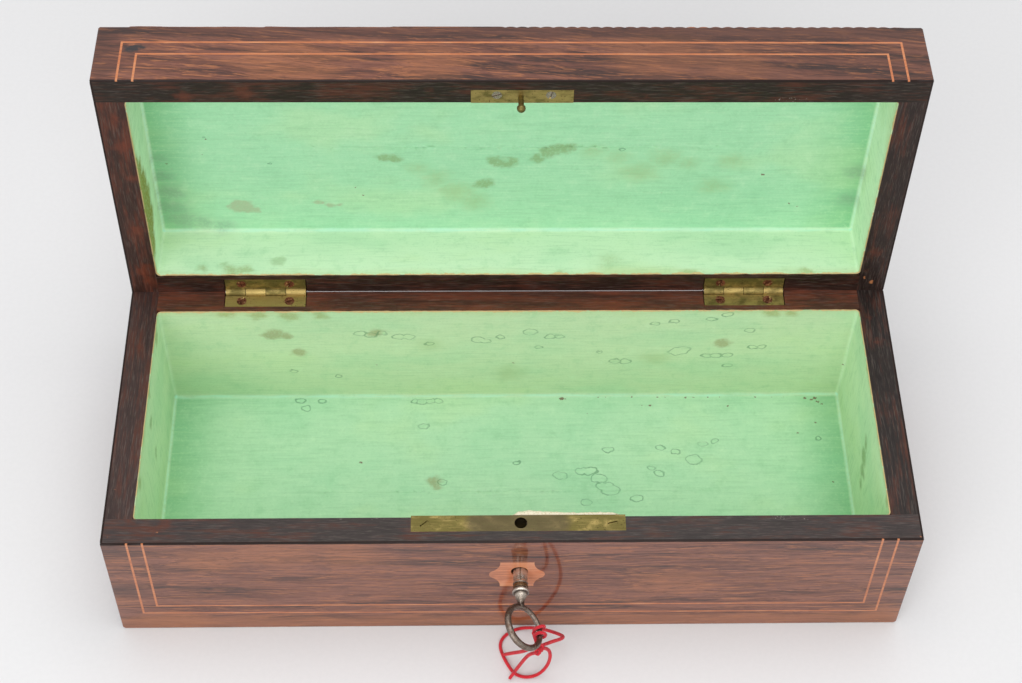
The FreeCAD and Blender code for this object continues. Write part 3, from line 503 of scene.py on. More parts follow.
def cotton_dyed(name):
    """Cotton thread, dyed: fibres 0.02 mm thick, drawn at 0.16 mm to show, with a soft sheen."""
    material, tree = new_material(name)
    place = place_mm(tree)
    fibres = marks(tree, place, (0.16, 0.16, 0.16), 5.0)
    faded = marks(tree, place, (3.5, 3.5, 3.5), 6.0)
    colour = washed(tree, bpy.context.scene.glove_box_string.red, (
        (faded, 0.5, 0.3, 0.6, "#8f1420"), (faded, 0.52, 0.7, 0.4, "#ec4a52"),
        (fibres, 0.5, 0.3, 0.6, "#7a0d16"), (fibres, 0.55, 0.75, 0.5, "#f2747a")))
    return finished(material, colour, 0.8, fibres, 0.0002, 0.7,
                    **{"Specular IOR Level": 0.2, "Sheen Weight": 0.35, "Sheen Roughness": 0.4})


# Meshes

def painted(material, *nodes):
    """Gives CAD nodes a better material."""
    for node in nodes:
        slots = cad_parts[node].data.materials
        slots.clear()
        slots.append(material)


def placed_piece(name, mesh, material, body, replaced=()):
    """An object for a mesh, riding on a body and standing for CAD nodes."""
    mesh.materials.clear()
    mesh.materials.append(material)
    thing = bpy.data.objects.new(name, mesh)
    bpy.context.scene.collection.objects.link(thing)
    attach(thing, body)
    if replaced:
        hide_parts(*replaced)
    return thing


def new_piece(name, points, faces, material, body, replaced=(), smooth=40.0, placed=None):
    """A mesh piece, its points in metres, smooth but for edges sharper than an angle in degrees."""
    mesh = bpy.data.meshes.new(name)
    mesh.from_pydata([tuple(p) for p in points], [], faces)
    if placed is not None:
        mesh.transform(placed)
    mesh.validate()
    shape = bmesh.new()
    shape.from_mesh(mesh)
    bmesh.ops.recalc_face_normals(shape, faces=shape.faces)
    shape.to_mesh(mesh)
    shape.free()
    mesh.shade_smooth()
    mesh.set_sharp_from_angle(angle=math.radians(smooth))
    return placed_piece(name, mesh, material, body, replaced)


def same(a, b):
    """Whether two coordinates in millimetres agree."""
    return abs(a - b) < 0.02


def outer_edge(a, b):
    """Whether a straight edge from a to b lies on two outer faces of the closed base or lid."""
    faces = 0
    for axis, values in ((0, (-HALF, HALF)), (1, (FRONT, BACK)), (2, (0.0, RIM, TOP))):
        faces += any(same(a[axis], v) and same(b[axis], v) for v in values)
    return faces >= 2


def worn_copy(part, side, material):
    """A copy of a veneer of base or lid, its outer arrises rounded and its outer corners rubbed away."""
    wood = bpy.context.scene.glove_box_wood
    node = part + "_" + side + "_veneer"
    placed = CLOSED_TO_OPEN if part == "lid" else Matrix.Identity(4)
    shape = bmesh.new()
    shape.from_mesh(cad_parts[node].data)
    bmesh.ops.remove_doubles(shape, verts=shape.verts, dist=0.000002)
    bmesh.ops.transform(shape, matrix=placed.inverted(), verts=shape.verts)
    chosen = [edge for edge in shape.edges
              if len(edge.link_faces) == 2 and edge.calc_face_angle() > math.radians(30)
              and outer_edge(*[v.co / MM for v in edge.verts])]
    made = bmesh.ops.bevel(shape, geom=chosen, offset=wood.arris, segments=3, profile=0.5, affect="EDGES",
                           clamp_overlap=True)
    for face in shape.faces:
        face.smooth = False
    for face in made["faces"]:
        face.smooth = True
    for x, y, z in product((-HALF, HALF), (FRONT, BACK), (0.0, TOP)):
        away = Vector((math.copysign(1, x), math.copysign(1, y), 1 if z else -1)).normalized()
        cut_corner(shape, mm(x, y, z), away, wood.corner)
    bmesh.ops.transform(shape, matrix=placed, verts=shape.verts)
    mesh = bpy.data.meshes.new(part + "_" + side + "_face")
    shape.to_mesh(mesh)
    shape.free()
    return placed_piece(mesh.name, mesh, material, part, (node,))


def cut_corner(shape, corner, away, reach):
    """Cuts a corner off a shape in metres and closes the cut; does nothing where the shape isn't there."""
    point = corner - away * reach / math.sqrt(3)
    if not any((v.co - point).dot(away) > 0 for v in shape.verts):
        return
    made = bmesh.ops.bisect_plane(shape, geom=shape.verts[:] + shape.edges[:] + shape.faces[:],
                                  plane_co=point, plane_no=away, clear_outer=True)
    edges = [item for item in made["geom_cut"] if isinstance(item, bmesh.types.BMEdge)]
    if edges:
        bmesh.ops.edgeloop_fill(shape, edges=edges)


def rounded_loop(half_x, half_y, radius, inset, step=1.5, bow=8):
    """Points round a rectangle with round corners, drawn in by an inset; the same number for any inset."""
    reach = max(radius - inset, 0.05)
    hx = max(half_x - inset - reach, 0.0)
    hy = max(half_y - inset - reach, 0.0)
    signs = ((1, 1), (-1, 1), (-1, -1), (1, -1))
    points = []
    for corner, (sx, sy) in enumerate(signs):
        start = 90.0 * corner
        for i in range(bow):
            a = math.radians(start + 90.0 * i / bow)
            points.append((sx * hx + reach * math.cos(a), sy * hy + reach * math.sin(a)))
        a = math.radians(start + 90.0)
        side = (reach * math.cos(a), reach * math.sin(a))
        tx, ty = signs[(corner + 1) % 4]
        count = int(2 * ((half_y if corner % 2 else half_x) - radius) / step)
        for i in range(count):
            t = i / count
            points.append((side[0] + hx * (sx + (tx - sx) * t), side[1] + hy * (sy + (ty - sy) * t)))
    return points


def lining(name, mouth, floor, material, body, replaced, seed, placed=None):
    """A paper lining as one skin: torn edge, walls, folded corner and floor, all in millimetres.

    mouth and floor are the heights of the torn edge and of the floor's surface.
    """
    corner, tread, torn = 1.4, 1.6, 0.9
    fillet = bpy.context.scene.glove_box_lining.fillet / MM
    way = 1 if floor > mouth else -1
    depth = abs(floor - mouth)
    levels = [(0.25, 0.5), (0.24, 0.02), (0.0, 0.0), (0.0, 0.35), (0.0, torn)]
    steps = int(depth / tread)
    levels += [(0.0, tread + (depth - fillet - tread) * i / steps) for i in range(steps + 1)]
    levels += [(fillet * (math.cos(a) - 1), depth - fillet + fillet * math.sin(a))
               for a in [math.radians(15 * i) for i in range(1, 7)]]
    flat = LINING_Y - fillet
    count = int(flat / tread)
    levels += [(-fillet - flat * i / count * 0.999, depth) for i in range(1, count + 1)]
    points = []
    for out, down in levels:
        for x, y in rounded_loop(LINING_X, LINING_Y, corner, -out):
            ragged = noise.fractal(Vector((x * 0.23, y * 0.23, seed + 9)), 0.9, 2.0, 4)
            fine = noise.fractal(Vector((x * 0.5, y * 0.5, seed)), 0.8, 2.0, 2)
            lift = max(0.0, 1 - down / torn) * (0.22 * ragged - 0.2)
            height = mouth + way * (down - lift)
            wave = 0.12 * noise.noise(Vector((x * 0.05, y * 0.05, height * 0.06 + seed))) + 0.03 * fine
            if down >= depth - 0.001:
                height -= way * (0.08 + wave)
            elif out < 0.2:
                x -= math.copysign(0.08 + wave, x) if abs(x) > LINING_X - 4 else 0.0
                y -= math.copysign(0.08 + wave, y) if abs(y) > LINING_Y - 4 else 0.0
            points.append(mm(x, y, height))
    around = len(points) // len(levels)
    last, centre = len(points) - around, len(points)
    points.append(sum(points[last:], Vector()) / around)
    faces = grid_faces(len(levels), around, True)
    faces += [(last + i, last + (i + 1) % around, centre) for i in range(around)]
    return new_piece(name, points, faces, material, body, replaced, 60.0, placed)


def grid_faces(rows, columns, closed=False):
    """Faces of a grid of points, row by row; a closed one joins the last column to the first."""
    last = columns if closed else columns - 1
    return [(r * columns + c, r * columns + (c + 1) % columns, (r + 1) * columns + (c + 1) % columns,
             (r + 1) * columns + c) for r in range(rows - 1) for c in range(last)]


def end_faces(rows, columns):
    """The two faces that close the first and the last row of a grid of points."""
    return [tuple(range(columns)), tuple(range((rows - 1) * columns, rows * columns))]


def turned(stations, centre, sides, dent):
    """Points and faces of a piece turned about a line to the front.

    Stations are (distance forward, radius) in millimetres. dent gives how much radius is lost at a distance
    forward and an angle from the top.
    """
    points = []
    for out, radius in stations:
        for k in range(sides):
            a = 2 * math.pi * k / sides
            r = radius - dent(out, a if a < math.pi else a - 2 * math.pi)
            points.append(mm(centre[0] + r * math.sin(a), FRONT - out, centre[1] + r * math.cos(a)))
    return points, grid_faces(len(stations), sides, True) + end_faces(len(stations), sides)


# Pieces

class GLOVEBOX_OT_veneers(bpy.types.Operator):
    """Dress the outside of base and lid with polished rosewood veneer"""

    bl_idname = "glovebox.veneers"
    bl_label = "Rosewood Veneers"

    def execute(self, context):
        wood = context.scene.glove_box_wood
        base_front = rosewood_french_polished(
            "rosewood_base_front", 2.0, darker=-0.02, zones=(("Z", 10.0, 6.5, 0.4, wood.streak),),
            dark=((-149, 58, 7), (-146, 30, 5)),
            pale=((-112, 50, 8), (-88, 55, 10), (-60, 53, 8), (-147, 52, 3), (143, 8, 6), (-130, 5, 9),
                  (-148, 22, 4), (60, 33, 9)))
        base_sides = rosewood_french_polished("rosewood_base_sides", 7.0, along="Y", darker=0.05)
        base_back = rosewood_french_polished("rosewood_base_back", 11.0, darker=0.04)
        # The lid front's second zone is painted shade: the veneer darkens towards the right, where less light
        # falls.
        lid_front = rosewood_french_polished(
            "rosewood_lid_front", 21.0, True, darker=0.025, slope=math.radians(-5), fleck=13,
            zones=(("Z", 82.5, 86.0, 0.42, wood.dark_line), ("X", -50.0, 70.0, 0.28, wood.dark_line)),
            dark=[(-146.5, z, 4) for z in (84, 76, 68)],
            pale=((-80, 70, 12), (52, 76, 12), (78, 72, 9), (-30, 72, 9)),
            ink=((-136.4, 79.2, 1.7), (-133.2, 79.8, 0.9), (-138.0, 78.0, 0.8)))
        lid_sides = rosewood_french_polished("rosewood_lid_sides", 27.0, True, "Y", 0.07)
        lid_top = rosewood_french_polished("rosewood_lid_top", 31.0, True, darker=0.04)
        for part, front, back, ends in (("base", base_front, base_back, base_sides),
                                        ("lid", lid_front, lid_top, lid_sides)):
            for side, material in (("front", front), ("back", back), ("left", ends), ("right", ends)):
                worn_copy(part, side, material)
        self.top_face(lid_top)
        return {"FINISHED"}

    def top_face(self, material):
        """The lid's top veneer, its front edge nibbled into scallops and broken away at the left."""
        columns = 601
        inward = (0.0, 0.0, 0.18, 0.5, 1.0, 1.7, 2.6, 3.8, 5.5, 40.0, 80.0, 116.4, 116.9, 117.25,
                  117.4, 117.4)
        points = []
        for row, y_in in enumerate(inward):
            from_edge = min(y_in, BACK - FRONT - y_in)
            for c in range(columns):
                x = -HALF + 2 * HALF * c / (columns - 1)
                height = TOP
                if y_in < 6:
                    height -= self.lost(x) * math.exp(-(y_in / 2.0) ** 2)
                end = HALF - abs(x)
                for room in (end, from_edge):
                    if room < 0.5:
                        height -= 0.3 * (1 - room / 0.5) ** 2
                if row in (0, len(inward) - 1):
                    height = TOP - VENEER
                place = self.rounded(x, FRONT + y_in)
                points.append(mm(*place, max(height, TOP - VENEER)))
        faces = grid_faces(len(inward), columns)
        rows = len(inward)
        bottom = [tuple(list(range(columns)) + list(range((rows - 1) * columns, rows * columns))[::-1])]
        ends = [tuple(r * columns + c for r in range(rows)) for c in (0, columns - 1)]
        new_piece("lid_top_face", points, faces + bottom + ends, material, "lid",
                  ("lid_top_veneer",), 30.0, CLOSED_TO_OPEN)

    def rounded(self, x, y, radius=1.3):
        """A point of the top's outline drawn in at the four corners."""
        from_x = Vector((math.copysign(HALF - radius, x), math.copysign(BACK - radius, y)))
        step = Vector((x, y)) - from_x
        if step.x * x > 0 and step.y * y > 0 and step.length > radius:
            step *= radius / step.length
            return from_x + step
        return x, y

    def lost(self, x):
        """How much of the top's front edge is worn away at x, in millimetres."""
        steps = ((-150, 0.8), (-139.4, 0.78), (-138.4, 0.1), (-132, 0.0), (-125, 0.25), (-112, 0.3),
                 (-100, 0.2), (-90.4, 0.45), (-89.6, 0.02), (-80, 0.3), (-76, 0.35), (-62, 0.2),
                 (-44.6, 0.3), (-43.6, 0.0), (-3, 0.0), (105, 0.1), (134, 0.02), (141.6, 0.3), (146, 0.78),
                 (150, 0.8))
        for (x0, a), (x1, b) in zip(steps, steps[1:]):
            if x0 <= x <= x1:
                base = a + (b - a) * (x - x0) / (x1 - x0)
        rough = 0.09 * noise.fractal(Vector((x * 0.3, 4.0, 0.0)), 0.8, 2.0, 3)
        scallop = 0.0
        if -5 < x < 141:
            phase = (x + 3 + 0.7 * noise.noise(Vector((x * 0.08, 0, 0)))) / 4.4
            deep = 0.72 * (0.75 + 0.5 * noise.noise(Vector((x * 0.06, 7.0, 0))))
            scallop = deep * (1 - abs(math.sin(math.pi * phase))) ** 1.3
        return max(0.0, base + rough + scallop)


class GLOVEBOX_OT_carcass(bpy.types.Operator):
    """Stain the walls, rails and boards of base and lid"""

    bl_idname = "glovebox.carcass"
    bl_label = "Stained Carcass"

    def execute(self, context):
        wood = context.scene.glove_box_wood
        pieces = (
            ("base_front_wall", "base_front", "#3a3130", wood.bare, -0.05, {
                "rubbed": ((-140, -49, 2.5), (-128, -50, 3), (-131, -54, 2), (-108, -51, 1)),
                "knocks": ((-129.5, -53.6, 0.5), (-147.5, -56, 0.4), (148.6, -57, 0.5)),
                "dust": ((-96, -48.6, 0.9), (-64, -48.4, 1.0), (-50, -48.4, 1.2), (78, -48.4, 1.0),
                         (98, -48.9, 1.5), (108, -49.6, 1.0))}),
            ("base_back_wall", "base_back", "#4a2d22", "#7a3f2a", 0.04, {}),
            ("base_left_wall", "base_left", "#3a2a27", wood.bare, 0.02, {
                "rubbed": ((-146, -46, 1.5), (-144, 30, 2)),
                "knocks": ((-147, -36, 0.25), (-146, 36, 0.2))}),
            ("base_right_wall", "base_right", "#241b19", wood.bare, -0.06, {
                "rubbed": ((142, 44, 2), (145, 32, 3), (143, 8, 0.5))}),
            ("base_bottom_board", "bottom", "#4a3126", "#7d5038", 0.12, {}),
            ("lid_front_rail", "lid_front", "#22170f", wood.bare, -0.02, {
                "rubbed": ((-118, -51, 4), (-96, -52, 4), (48, -50, 1.5), (-30, -54, 3)),
                "dust": ((-114, -48.6, 0.9), (-20, -50.4, 0.8), (42, -48.5, 0.8), (74, -48.8, 1.2),
                         (100, -49.4, 1.8))}),
            ("lid_back_rail", "lid_back", "#2a1812", "#5c2e20", -0.02, {}),
            ("lid_left_rail", "lid_left", "#38221b", "#6b3422", 0.0, {
                "rubbed": ((-142, 44, 5), (-141, 50, 4), (-144, -25, 4), (-141, -8, 3), (-143, 20, 3),
                           (-143, -40, 2))}),
            ("lid_right_rail", "lid_right", "#2c1f1b", wood.bare, -0.05, {
                "rubbed": ((144, 34, 3), (141.5, 46, 2), (143, 52, 2)),
                "knocks": ((144, 52, 0.9), (141, 50, 0.5))}),
            ("lid_top_board", "lid_board", wood.stain, wood.bare, 0.0, {}))
        for seed, (node, name, stain, bare, red, worn) in enumerate(pieces, 1):
            along = "Y" if "left" in node or "right" in node else "X"
            painted(softwood_dark_stained("softwood_" + name, float(seed), stain, bare,
                                          node.startswith("lid"), along, red, **worn), node)
        return {"FINISHED"}


class GLOVEBOX_OT_inlay(bpy.types.Operator):
    """Finish the light stringing and the keyhole plate"""

    bl_idname = "glovebox.inlay"
    bl_label = "Inlay"

    def execute(self, context):
        wood = context.scene.glove_box_wood
        for seed, part in enumerate(("base", "lid"), 1):
            strip = lightwood_polished("boxwood_" + part + "_stringing", wood.stringing, float(seed),
                                       part == "lid")
            painted(strip, part + "_outer_stringing", part + "_inner_stringing")
        painted(lightwood_polished("pearwood_keyhole_plate", wood.plate, 3.0), "escutcheon")
        return {"FINISHED"}


def on_paper(right=(), left=(), back=(), floor=(), ceiling=()):
    """Spots on the lining's sheets, each given by its other two coordinates and a radius."""
    return (on_plane(0, LINING_X, right) + on_plane(0, -LINING_X, left) + on_plane(1, LINING_Y, back)
            + on_plane(2, PAPER_FLOOR, floor) + on_plane(2, PAPER_CEILING, ceiling))


# Stains, blisters and flecks on the paper, and among the lid's ones a soft painted shade, each where the
# photo shows it
DAMP_YELLOW = "#8f9242"
BASE_STAINS = (
    (2.5, 0.65, None, on_paper(
        right=((-2, 41, 2), (-4, 34, 3.5), (-7, 28, 3), (-9, 22, 1.5)),
        left=((3, 50, 2), (1, 32, 1.5)))),
    (1.6, 0.6, "#9a9264", on_paper(
        back=((-95, 46.8, 2.6), (-90, 46.2, 1.8), (-85.6, 35, 2.5), (-54, 48, 1.8), (87, 40, 2.4)),
        floor=((-31, 4.8, 1.9), (-29, 3.0, 1.2)))),
    (5.0, 0.4, "#9fb87c", on_paper(
        back=((-32, 40, 3), (60, 30, 3), (0, 20, 4)),
        floor=((62, -30, 5),))),
    (2.0, 0.5, DAMP_YELLOW, on_paper(
        back=((-112, 60.4, 1.4), (-100, 59.4, 2.2), (-88, 58.4, 2.4), (-75, 59.2, 1.6),
              (104, 60.6, 1.6), (113, 60.4, 1.4)),
        left=((38, 58, 3), (10, 60, 2), (-30, 58, 2.5)),
        right=((-40, 60, 2), (20, 61, 1.5)))),
)
BASE_BLISTERS = on_paper(
    back=((-60, 47.5, 1.5), (-55.5, 46.5, 1.5), (-51, 47.5, 1.3), (-44.5, 45.2, 1.6),
          (-40.5, 45.2, 1.6), (-32, 40.5, 1.3), (-12.5, 43.2, 1.8), (-10, 42.2, 1.5), (-3.7, 44.7, 1.2),
          (8.7, 48, 1.7), (16.5, 44.8, 1.3), (20, 45.2, 1.1), (37, 34.5, 0.8), (44, 28.2, 1.3),
          (48, 28, 1.4), (58.5, 53.5, 1.2), (66, 55, 1.2), (69.1, 34.7, 2.4), (71, 36, 1.8),
          (80.8, 31.4, 1.4), (85, 31.8, 1.4), (89.5, 32, 1.3), (90.5, 24.9, 1.3), (80.9, 56.2, 1.2),
          (86.6, 59.2, 1.4), (99.5, 37.3, 1.2), (103, 37.8, 1.1), (96.6, 48.8, 1.3), (-88, 22, 1.0),
          (-70, 18, 0.9), (12, 38, 1.0)),
    floor=((-39, 44.6, 0.9), (-36, 44.4, 1.3), (-32.5, 44.6, 1.4), (-29, 44.8, 1.2), (-86.5, 45.1, 1.2),
           (-84, 41.2, 1.3), (-77.5, 44.6, 0.9), (-34.9, 32.2, 1.3), (-27, 4.6, 1.2), (40.8, 20, 1.4),
           (62.2, 21, 1.2), (68.6, 18.8, 1.3), (75.9, 14.9, 2.0), (80.2, 22.4, 1.2), (84.9, 24.6, 1.0),
           (29.5, 9.8, 1.5), (33, 9.8, 1.9), (36.5, 6, 2.1), (38.5, 2.4, 2.0), (41, 0.2, 2.2),
           (31.2, -5.2, 1.5), (51.5, -3.8, 1.6), (20.8, 7.6, 1.7), (58.4, 11, 1.1), (61, 8.4, 1.3),
           (128.2, 25, 0.8), (3, 14, 0.9)))
BASE_FLECKS = on_paper(
    floor=((22.5, 45.7, 0.75), (24, 45.5, 0.3), (63, 46.3, 0.3), (52, 46.4, 0.25), (38, 46.3, 0.2),
           (41, 46.2, 0.2), (56, 42, 0.2), (59.5, 42.2, 0.45), (66, 46.1, 0.2), (74.5, 46, 0.4),
           (78, 46.1, 0.3), (84, 46.2, 0.25), (89, 46, 0.3), (92, 41.6, 0.4), (104, 46.2, 0.35),
           (111, 46, 0.2), (116, 46.1, 0.2), (125, 45.6, 0.45), (127.5, 44.6, 0.5), (129, 45.4, 0.6),
           (130, 43.6, 0.5), (131.5, 42.4, 0.35), (-60.4, 14.4, 0.5), (120, 28, 0.35), (132, 4, 0.3),
           (128, 33, 0.3), (33, 38, 0.15)),
    back=((-54, 26, 0.3), (2, 27, 0.35))) + [
    (138.2, 47.3, 25, 0.4), (138, 47.2, 21, 0.35), (137.7, 47, 17, 0.4), (137.3, 46.8, 13, 0.35),
    (136.5, 46.6, 9.5, 0.35)]
LID_STAINS_AND_SHADE = (
    (1.6, 0.65, None, on_paper(
        ceiling=((-49, 5.6, 2.0), (-45, 6.4, 1.8), (-9.8, 20.8, 2.5), (-5, 8.0, 2.5), (-1, 9.0, 2.2),
                 (10.5, 6.6, 1.9), (15, 3.2, 2.2), (19, 0.8, 2.5), (22, 0.2, 1.9)))),
    (1.2, 0.5, "#a99b7c", on_paper(
        ceiling=((-105.4, 33.4, 3.2), (-102, 34.6, 1.6), (-75, 30.5, 1.0), (-71, 32.3, 1.1),
                 (-67.5, 31.6, 0.7)))),
    (5.0, 0.42, "#9db67a", on_paper(
        ceiling=((-36, 12, 2), (-29, 17.3, 3.5), (-21, 25, 4.5), (-14, 31, 4), (32, 2, 2), (42, 5, 2.5),
                 (50.8, 14, 4.5), (60, 6, 3.5), (70, 9, 2.5), (80, 22, 3.5), (86, 8, 3)),
        back=((40, 70, 3),))),
    # Painted shade, not a stain: a soft grey-green darkening along the ceiling's two ends and into its back
    # left corner, where the walls shade it.
    (4.5, 0.5, "#7f9c84", on_paper(
        ceiling=((-136, 6, 1.5), (-135, 16, 2.5), (-134, 25, 3.5), (-133, 34, 4), (-130, 41, 4),
                 (-122, 43.5, 3), (-114, 44.5, 2.2), (136, 14, 3), (135, 30, 3)))),
    (2.0, 0.5, DAMP_YELLOW, on_paper(
        back=((-109, 65.2, 1.8), (-105, 65.6, 1.6), (-122, 66.4, 0.9), (70, 64.2, 1.4), (20, 64.2, 1.0),
              (118, 64.4, 1.6)))),
    (3.5, 0.95, "#98923c", on_paper(
        left=((-14, 63.5, 3), (-8, 64.5, 5), (2, 66, 8), (12, 67, 9), (22, 66.5, 9), (32, 65, 6)))),
    (1.4, 0.4, None, on_paper(back=((-92, 69.8, 2.0), (-112, 68.4, 0.8)))),
)
LID_BLISTERS = on_paper(ceiling=((-116.7, -5, 0.25), (43, 1, 0.7), (-93, 9, 0.4)))
LID_FLECKS = on_paper(
    ceiling=((-60.8, 22.4, 0.25), (-57.9, 27, 0.3), (99.2, 15.4, 0.55), (111.5, 32.1, 0.35),
             (115, 34, 0.25), (-116.5, -4.6, 0.3), (-119, 4, 0.2), (60, 26, 0.15), (-15, -42.5, 0.3),
             (-12, -42.3, 0.2), (-133, 9, 0.3), (-131, 12, 0.2)))


class GLOVEBOX_OT_lining(bpy.types.Operator):
    """Line base and lid with green distempered paper"""

    bl_idname = "glovebox.lining"
    bl_label = "Paper Lining"

    def execute(self, context):
        settings = context.scene.glove_box_lining
        base = paper_distempered("paper_base", 1.0, settings.green, settings.walls, "#d8f0ca", PAPER_FLOOR,
                                 False, BASE_STAINS, BASE_BLISTERS, BASE_FLECKS)
        lid = paper_distempered("paper_lid", 5.0, settings.ceiling, settings.lid_back, "#e8ffdf",
                                PAPER_CEILING, True, LID_STAINS_AND_SHADE, LID_BLISTERS, LID_FLECKS)
        lining("base_lining", BASE_MOUTH, PAPER_FLOOR, base, "base",
               ("base_wall_paper", "base_floor_paper"), 1.0)
        lining("lid_lining", LID_MOUTH, PAPER_CEILING + 0.05, lid, "lid",
               ("lid_wall_paper", "lid_ceiling_paper"), 2.0, CLOSED_TO_OPEN)
        self.torn_flap("paper_flap_right", -1.0, 40.6, 2.9, 1.0)
        self.torn_flap("paper_flap_left", -25.0, -13.5, 0.5, 2.0)
        return {"FINISHED"}

    def torn_flap(self, name, left, right, reach, seed):
        """Torn paper standing up behind the lock plate, from x to x."""
        columns = int((right - left) / 0.35)
        section = ((0.0, 62.0), (0.35, 62.25), (0.7, 62.1), (1.0, 61.6), (0.97, 61.5), (0.35, 62.05),
                   (0.0, 61.8))
        sides = len(section)
        points = []
        for c in range(columns):
            t = c / (columns - 1)
            x = left + (right - left) * t
            swell = math.sin(math.pi * min(t * 7, 1) / 2) * (1 - 0.45 * min(t * 2, 1)) * min(1, (1 - t) * 9)
            ragged = noise.fractal(Vector((x * 0.4, seed, 0)), 0.9, 2.0, 3)
            out = reach * max(0.12, swell + 0.14 * ragged)
            points += [mm(x, -47.2 + out * share, height + 0.08 * ragged) for share, height in section]
        faces = grid_faces(columns, sides, True) + end_faces(columns, sides)
        new_piece(name, points, faces, self.raw_paper(name), "base", smooth=50.0)

    def raw_paper(self, name):
        """Undyed rag paper, torn: soft cream with fibres 0.4 mm apart."""
        material, tree = new_material(name + "_paper")
        fibres = marks(tree, place_mm(tree), (0.5, 0.5, 0.5), 4.0)
        cream = blended(bpy.context.scene.glove_box_lining.cream, "#f3ecdc", 0.7)
        colour = washed(tree, cream, (
            (fibres, 0.5, 0.35, 0.5, "#b9a06a"), (fibres, 0.56, 0.7, 0.5, "#f3ecd8")))
        return finished(material, colour, 0.9, fibres, 0.0001, 1.0, **{"Specular IOR Level": 0.2})


class GLOVEBOX_OT_hinges(bpy.types.Operator):
    """Finish the two butt hinges and their screws"""

    bl_idname = "glovebox.hinges"
    bl_label = "Butt Hinges"

    def execute(self, context):
        steel = context.scene.glove_box_metal.steel
        for i, (side, tarnished) in enumerate((("left", 0.15), ("right", 0.56))):
            base, lid, pin = side + "_base_leaf", side + "_lid_leaf", side + "_pin"
            painted(brass_dulled("brass_" + base, 3.0 + i, tarnished=tarnished, dull=0.14), "hinge_" + base)
            painted(brass_dulled("brass_" + lid, 8.0 + i, True, 0.8, dull=0.14), "hinge_" + lid)
            painted(steel_worn("steel_" + pin, 2.0 + i, steel, rusty=0.6), "hinge_" + pin)
        painted(screw_gone_brown("screws_base_leaves", 1.0), "hinge_base_screws")
        painted(screw_gone_brown("screws_lid_leaves", 2.0, True), "hinge_lid_screws")
        return {"FINISHED"}


class GLOVEBOX_OT_lock(bpy.types.Operator):
    """Finish the lock, its selvedge and the strike plate"""

    bl_idname = "glovebox.lock"
    bl_label = "Lock and Strike"

    def execute(self, context):
        steel = context.scene.glove_box_metal.steel
        hole_y, hole_radius = -50.525, 2.36
        lock = brass_dulled("brass_lock", 14.0, tarnished=0.95,
                            # The stud's bore is painted near black: painted shade.
                            shaded_hole=[(LOCK_X, hole_y, z, hole_radius) for z in (62.1, 61.2)],
                            greyed=on_plane(2, RIM, ((-8, -50.5, 9), (12, -50.5, 8), (2, -50.5, 6))))
        painted(lock, "lock_plate", "lock_case", "lock_guide_studs", "back_plate_screws", "selvedge_screws")
        painted(steel_worn("steel_works", 4.0, steel), "lock_bolt", "lock_bolt_spring", "lock_drill_pin")
        painted(brass_dulled("brass_strike", 17.0, True, 0.5), "strike_plate")
        painted(brass_dulled("brass_stud", 18.0, True, 1.1), "strike_stud")
        painted(steel_worn("steel_strike_screws", 6.0, steel, True, 0.2), "strike_screws")
        return {"FINISHED"}


KEY_HEIGHT = 41.6

# The turned shank from bore to bow, collars and all: (distance in front of the box, radius)
SHANK = (
    (-0.5, 0.0), (-0.5, 0.98), (-10.5, 0.98), (-10.5, 2.5), (-10.3, 2.7), (-3.0, 2.7), (3.6, 2.68),
    (4.5, 2.6), (4.9, 2.62), (5.1, 2.78), (5.3, 2.85), (5.6, 2.85), (5.8, 2.78), (5.9, 2.6), (6.15, 2.58),
    (6.3, 2.78), (6.5, 2.86), (6.9, 2.8), (7.2, 2.86), (7.45, 2.82), (7.6, 2.6), (7.9, 2.55), (8.05, 2.95),
    (8.25, 3.2), (8.6, 3.25), (9.1, 3.22), (9.45, 3.05), (9.6, 2.5), (10.3, 2.35), (11.2, 1.95),
    (12.1, 1.6), (12.9, 1.35), (13.6, 1.25), (14.2, 1.3), (15.0, 1.35), (15.4, 1.2), (15.4, 0.0))

# The ring bow: radius of its centre line and its wire, how far it leans and dips, how its face is turned
BOW_RADIUS = 8.1
BOW_WIRE = 1.15
BOW_SHIFT = 1.0
BOW_DROP = 0.6
BOW_TILT = math.radians(43.0)


class Bow:
    """The ring bow's own axes, in millimetres."""

    along = Vector((BOW_SHIFT, -BOW_RADIUS, -BOW_DROP)).normalized()
    level = Vector((math.sin(BOW_TILT), 0, math.cos(BOW_TILT)))
    normal = (level - along * level.dot(along)).normalized()
    across = normal.cross(along)
    centre = Vector((LOCK_X, FRONT - 15.0, KEY_HEIGHT)) + along * BOW_RADIUS

    @classmethod
    def point(cls, turn, beside=0.0, outward=0.0, over=0.0):
        """A point by the ring's centre line, with steps along it, outwards and to its face."""
        a = math.radians(turn)
        out = cls.across * math.cos(a) + cls.along * math.sin(a)
        way = cls.along * math.cos(a) - cls.across * math.sin(a)
        return cls.centre + out * (BOW_RADIUS + outward) + way * beside + cls.normal * over


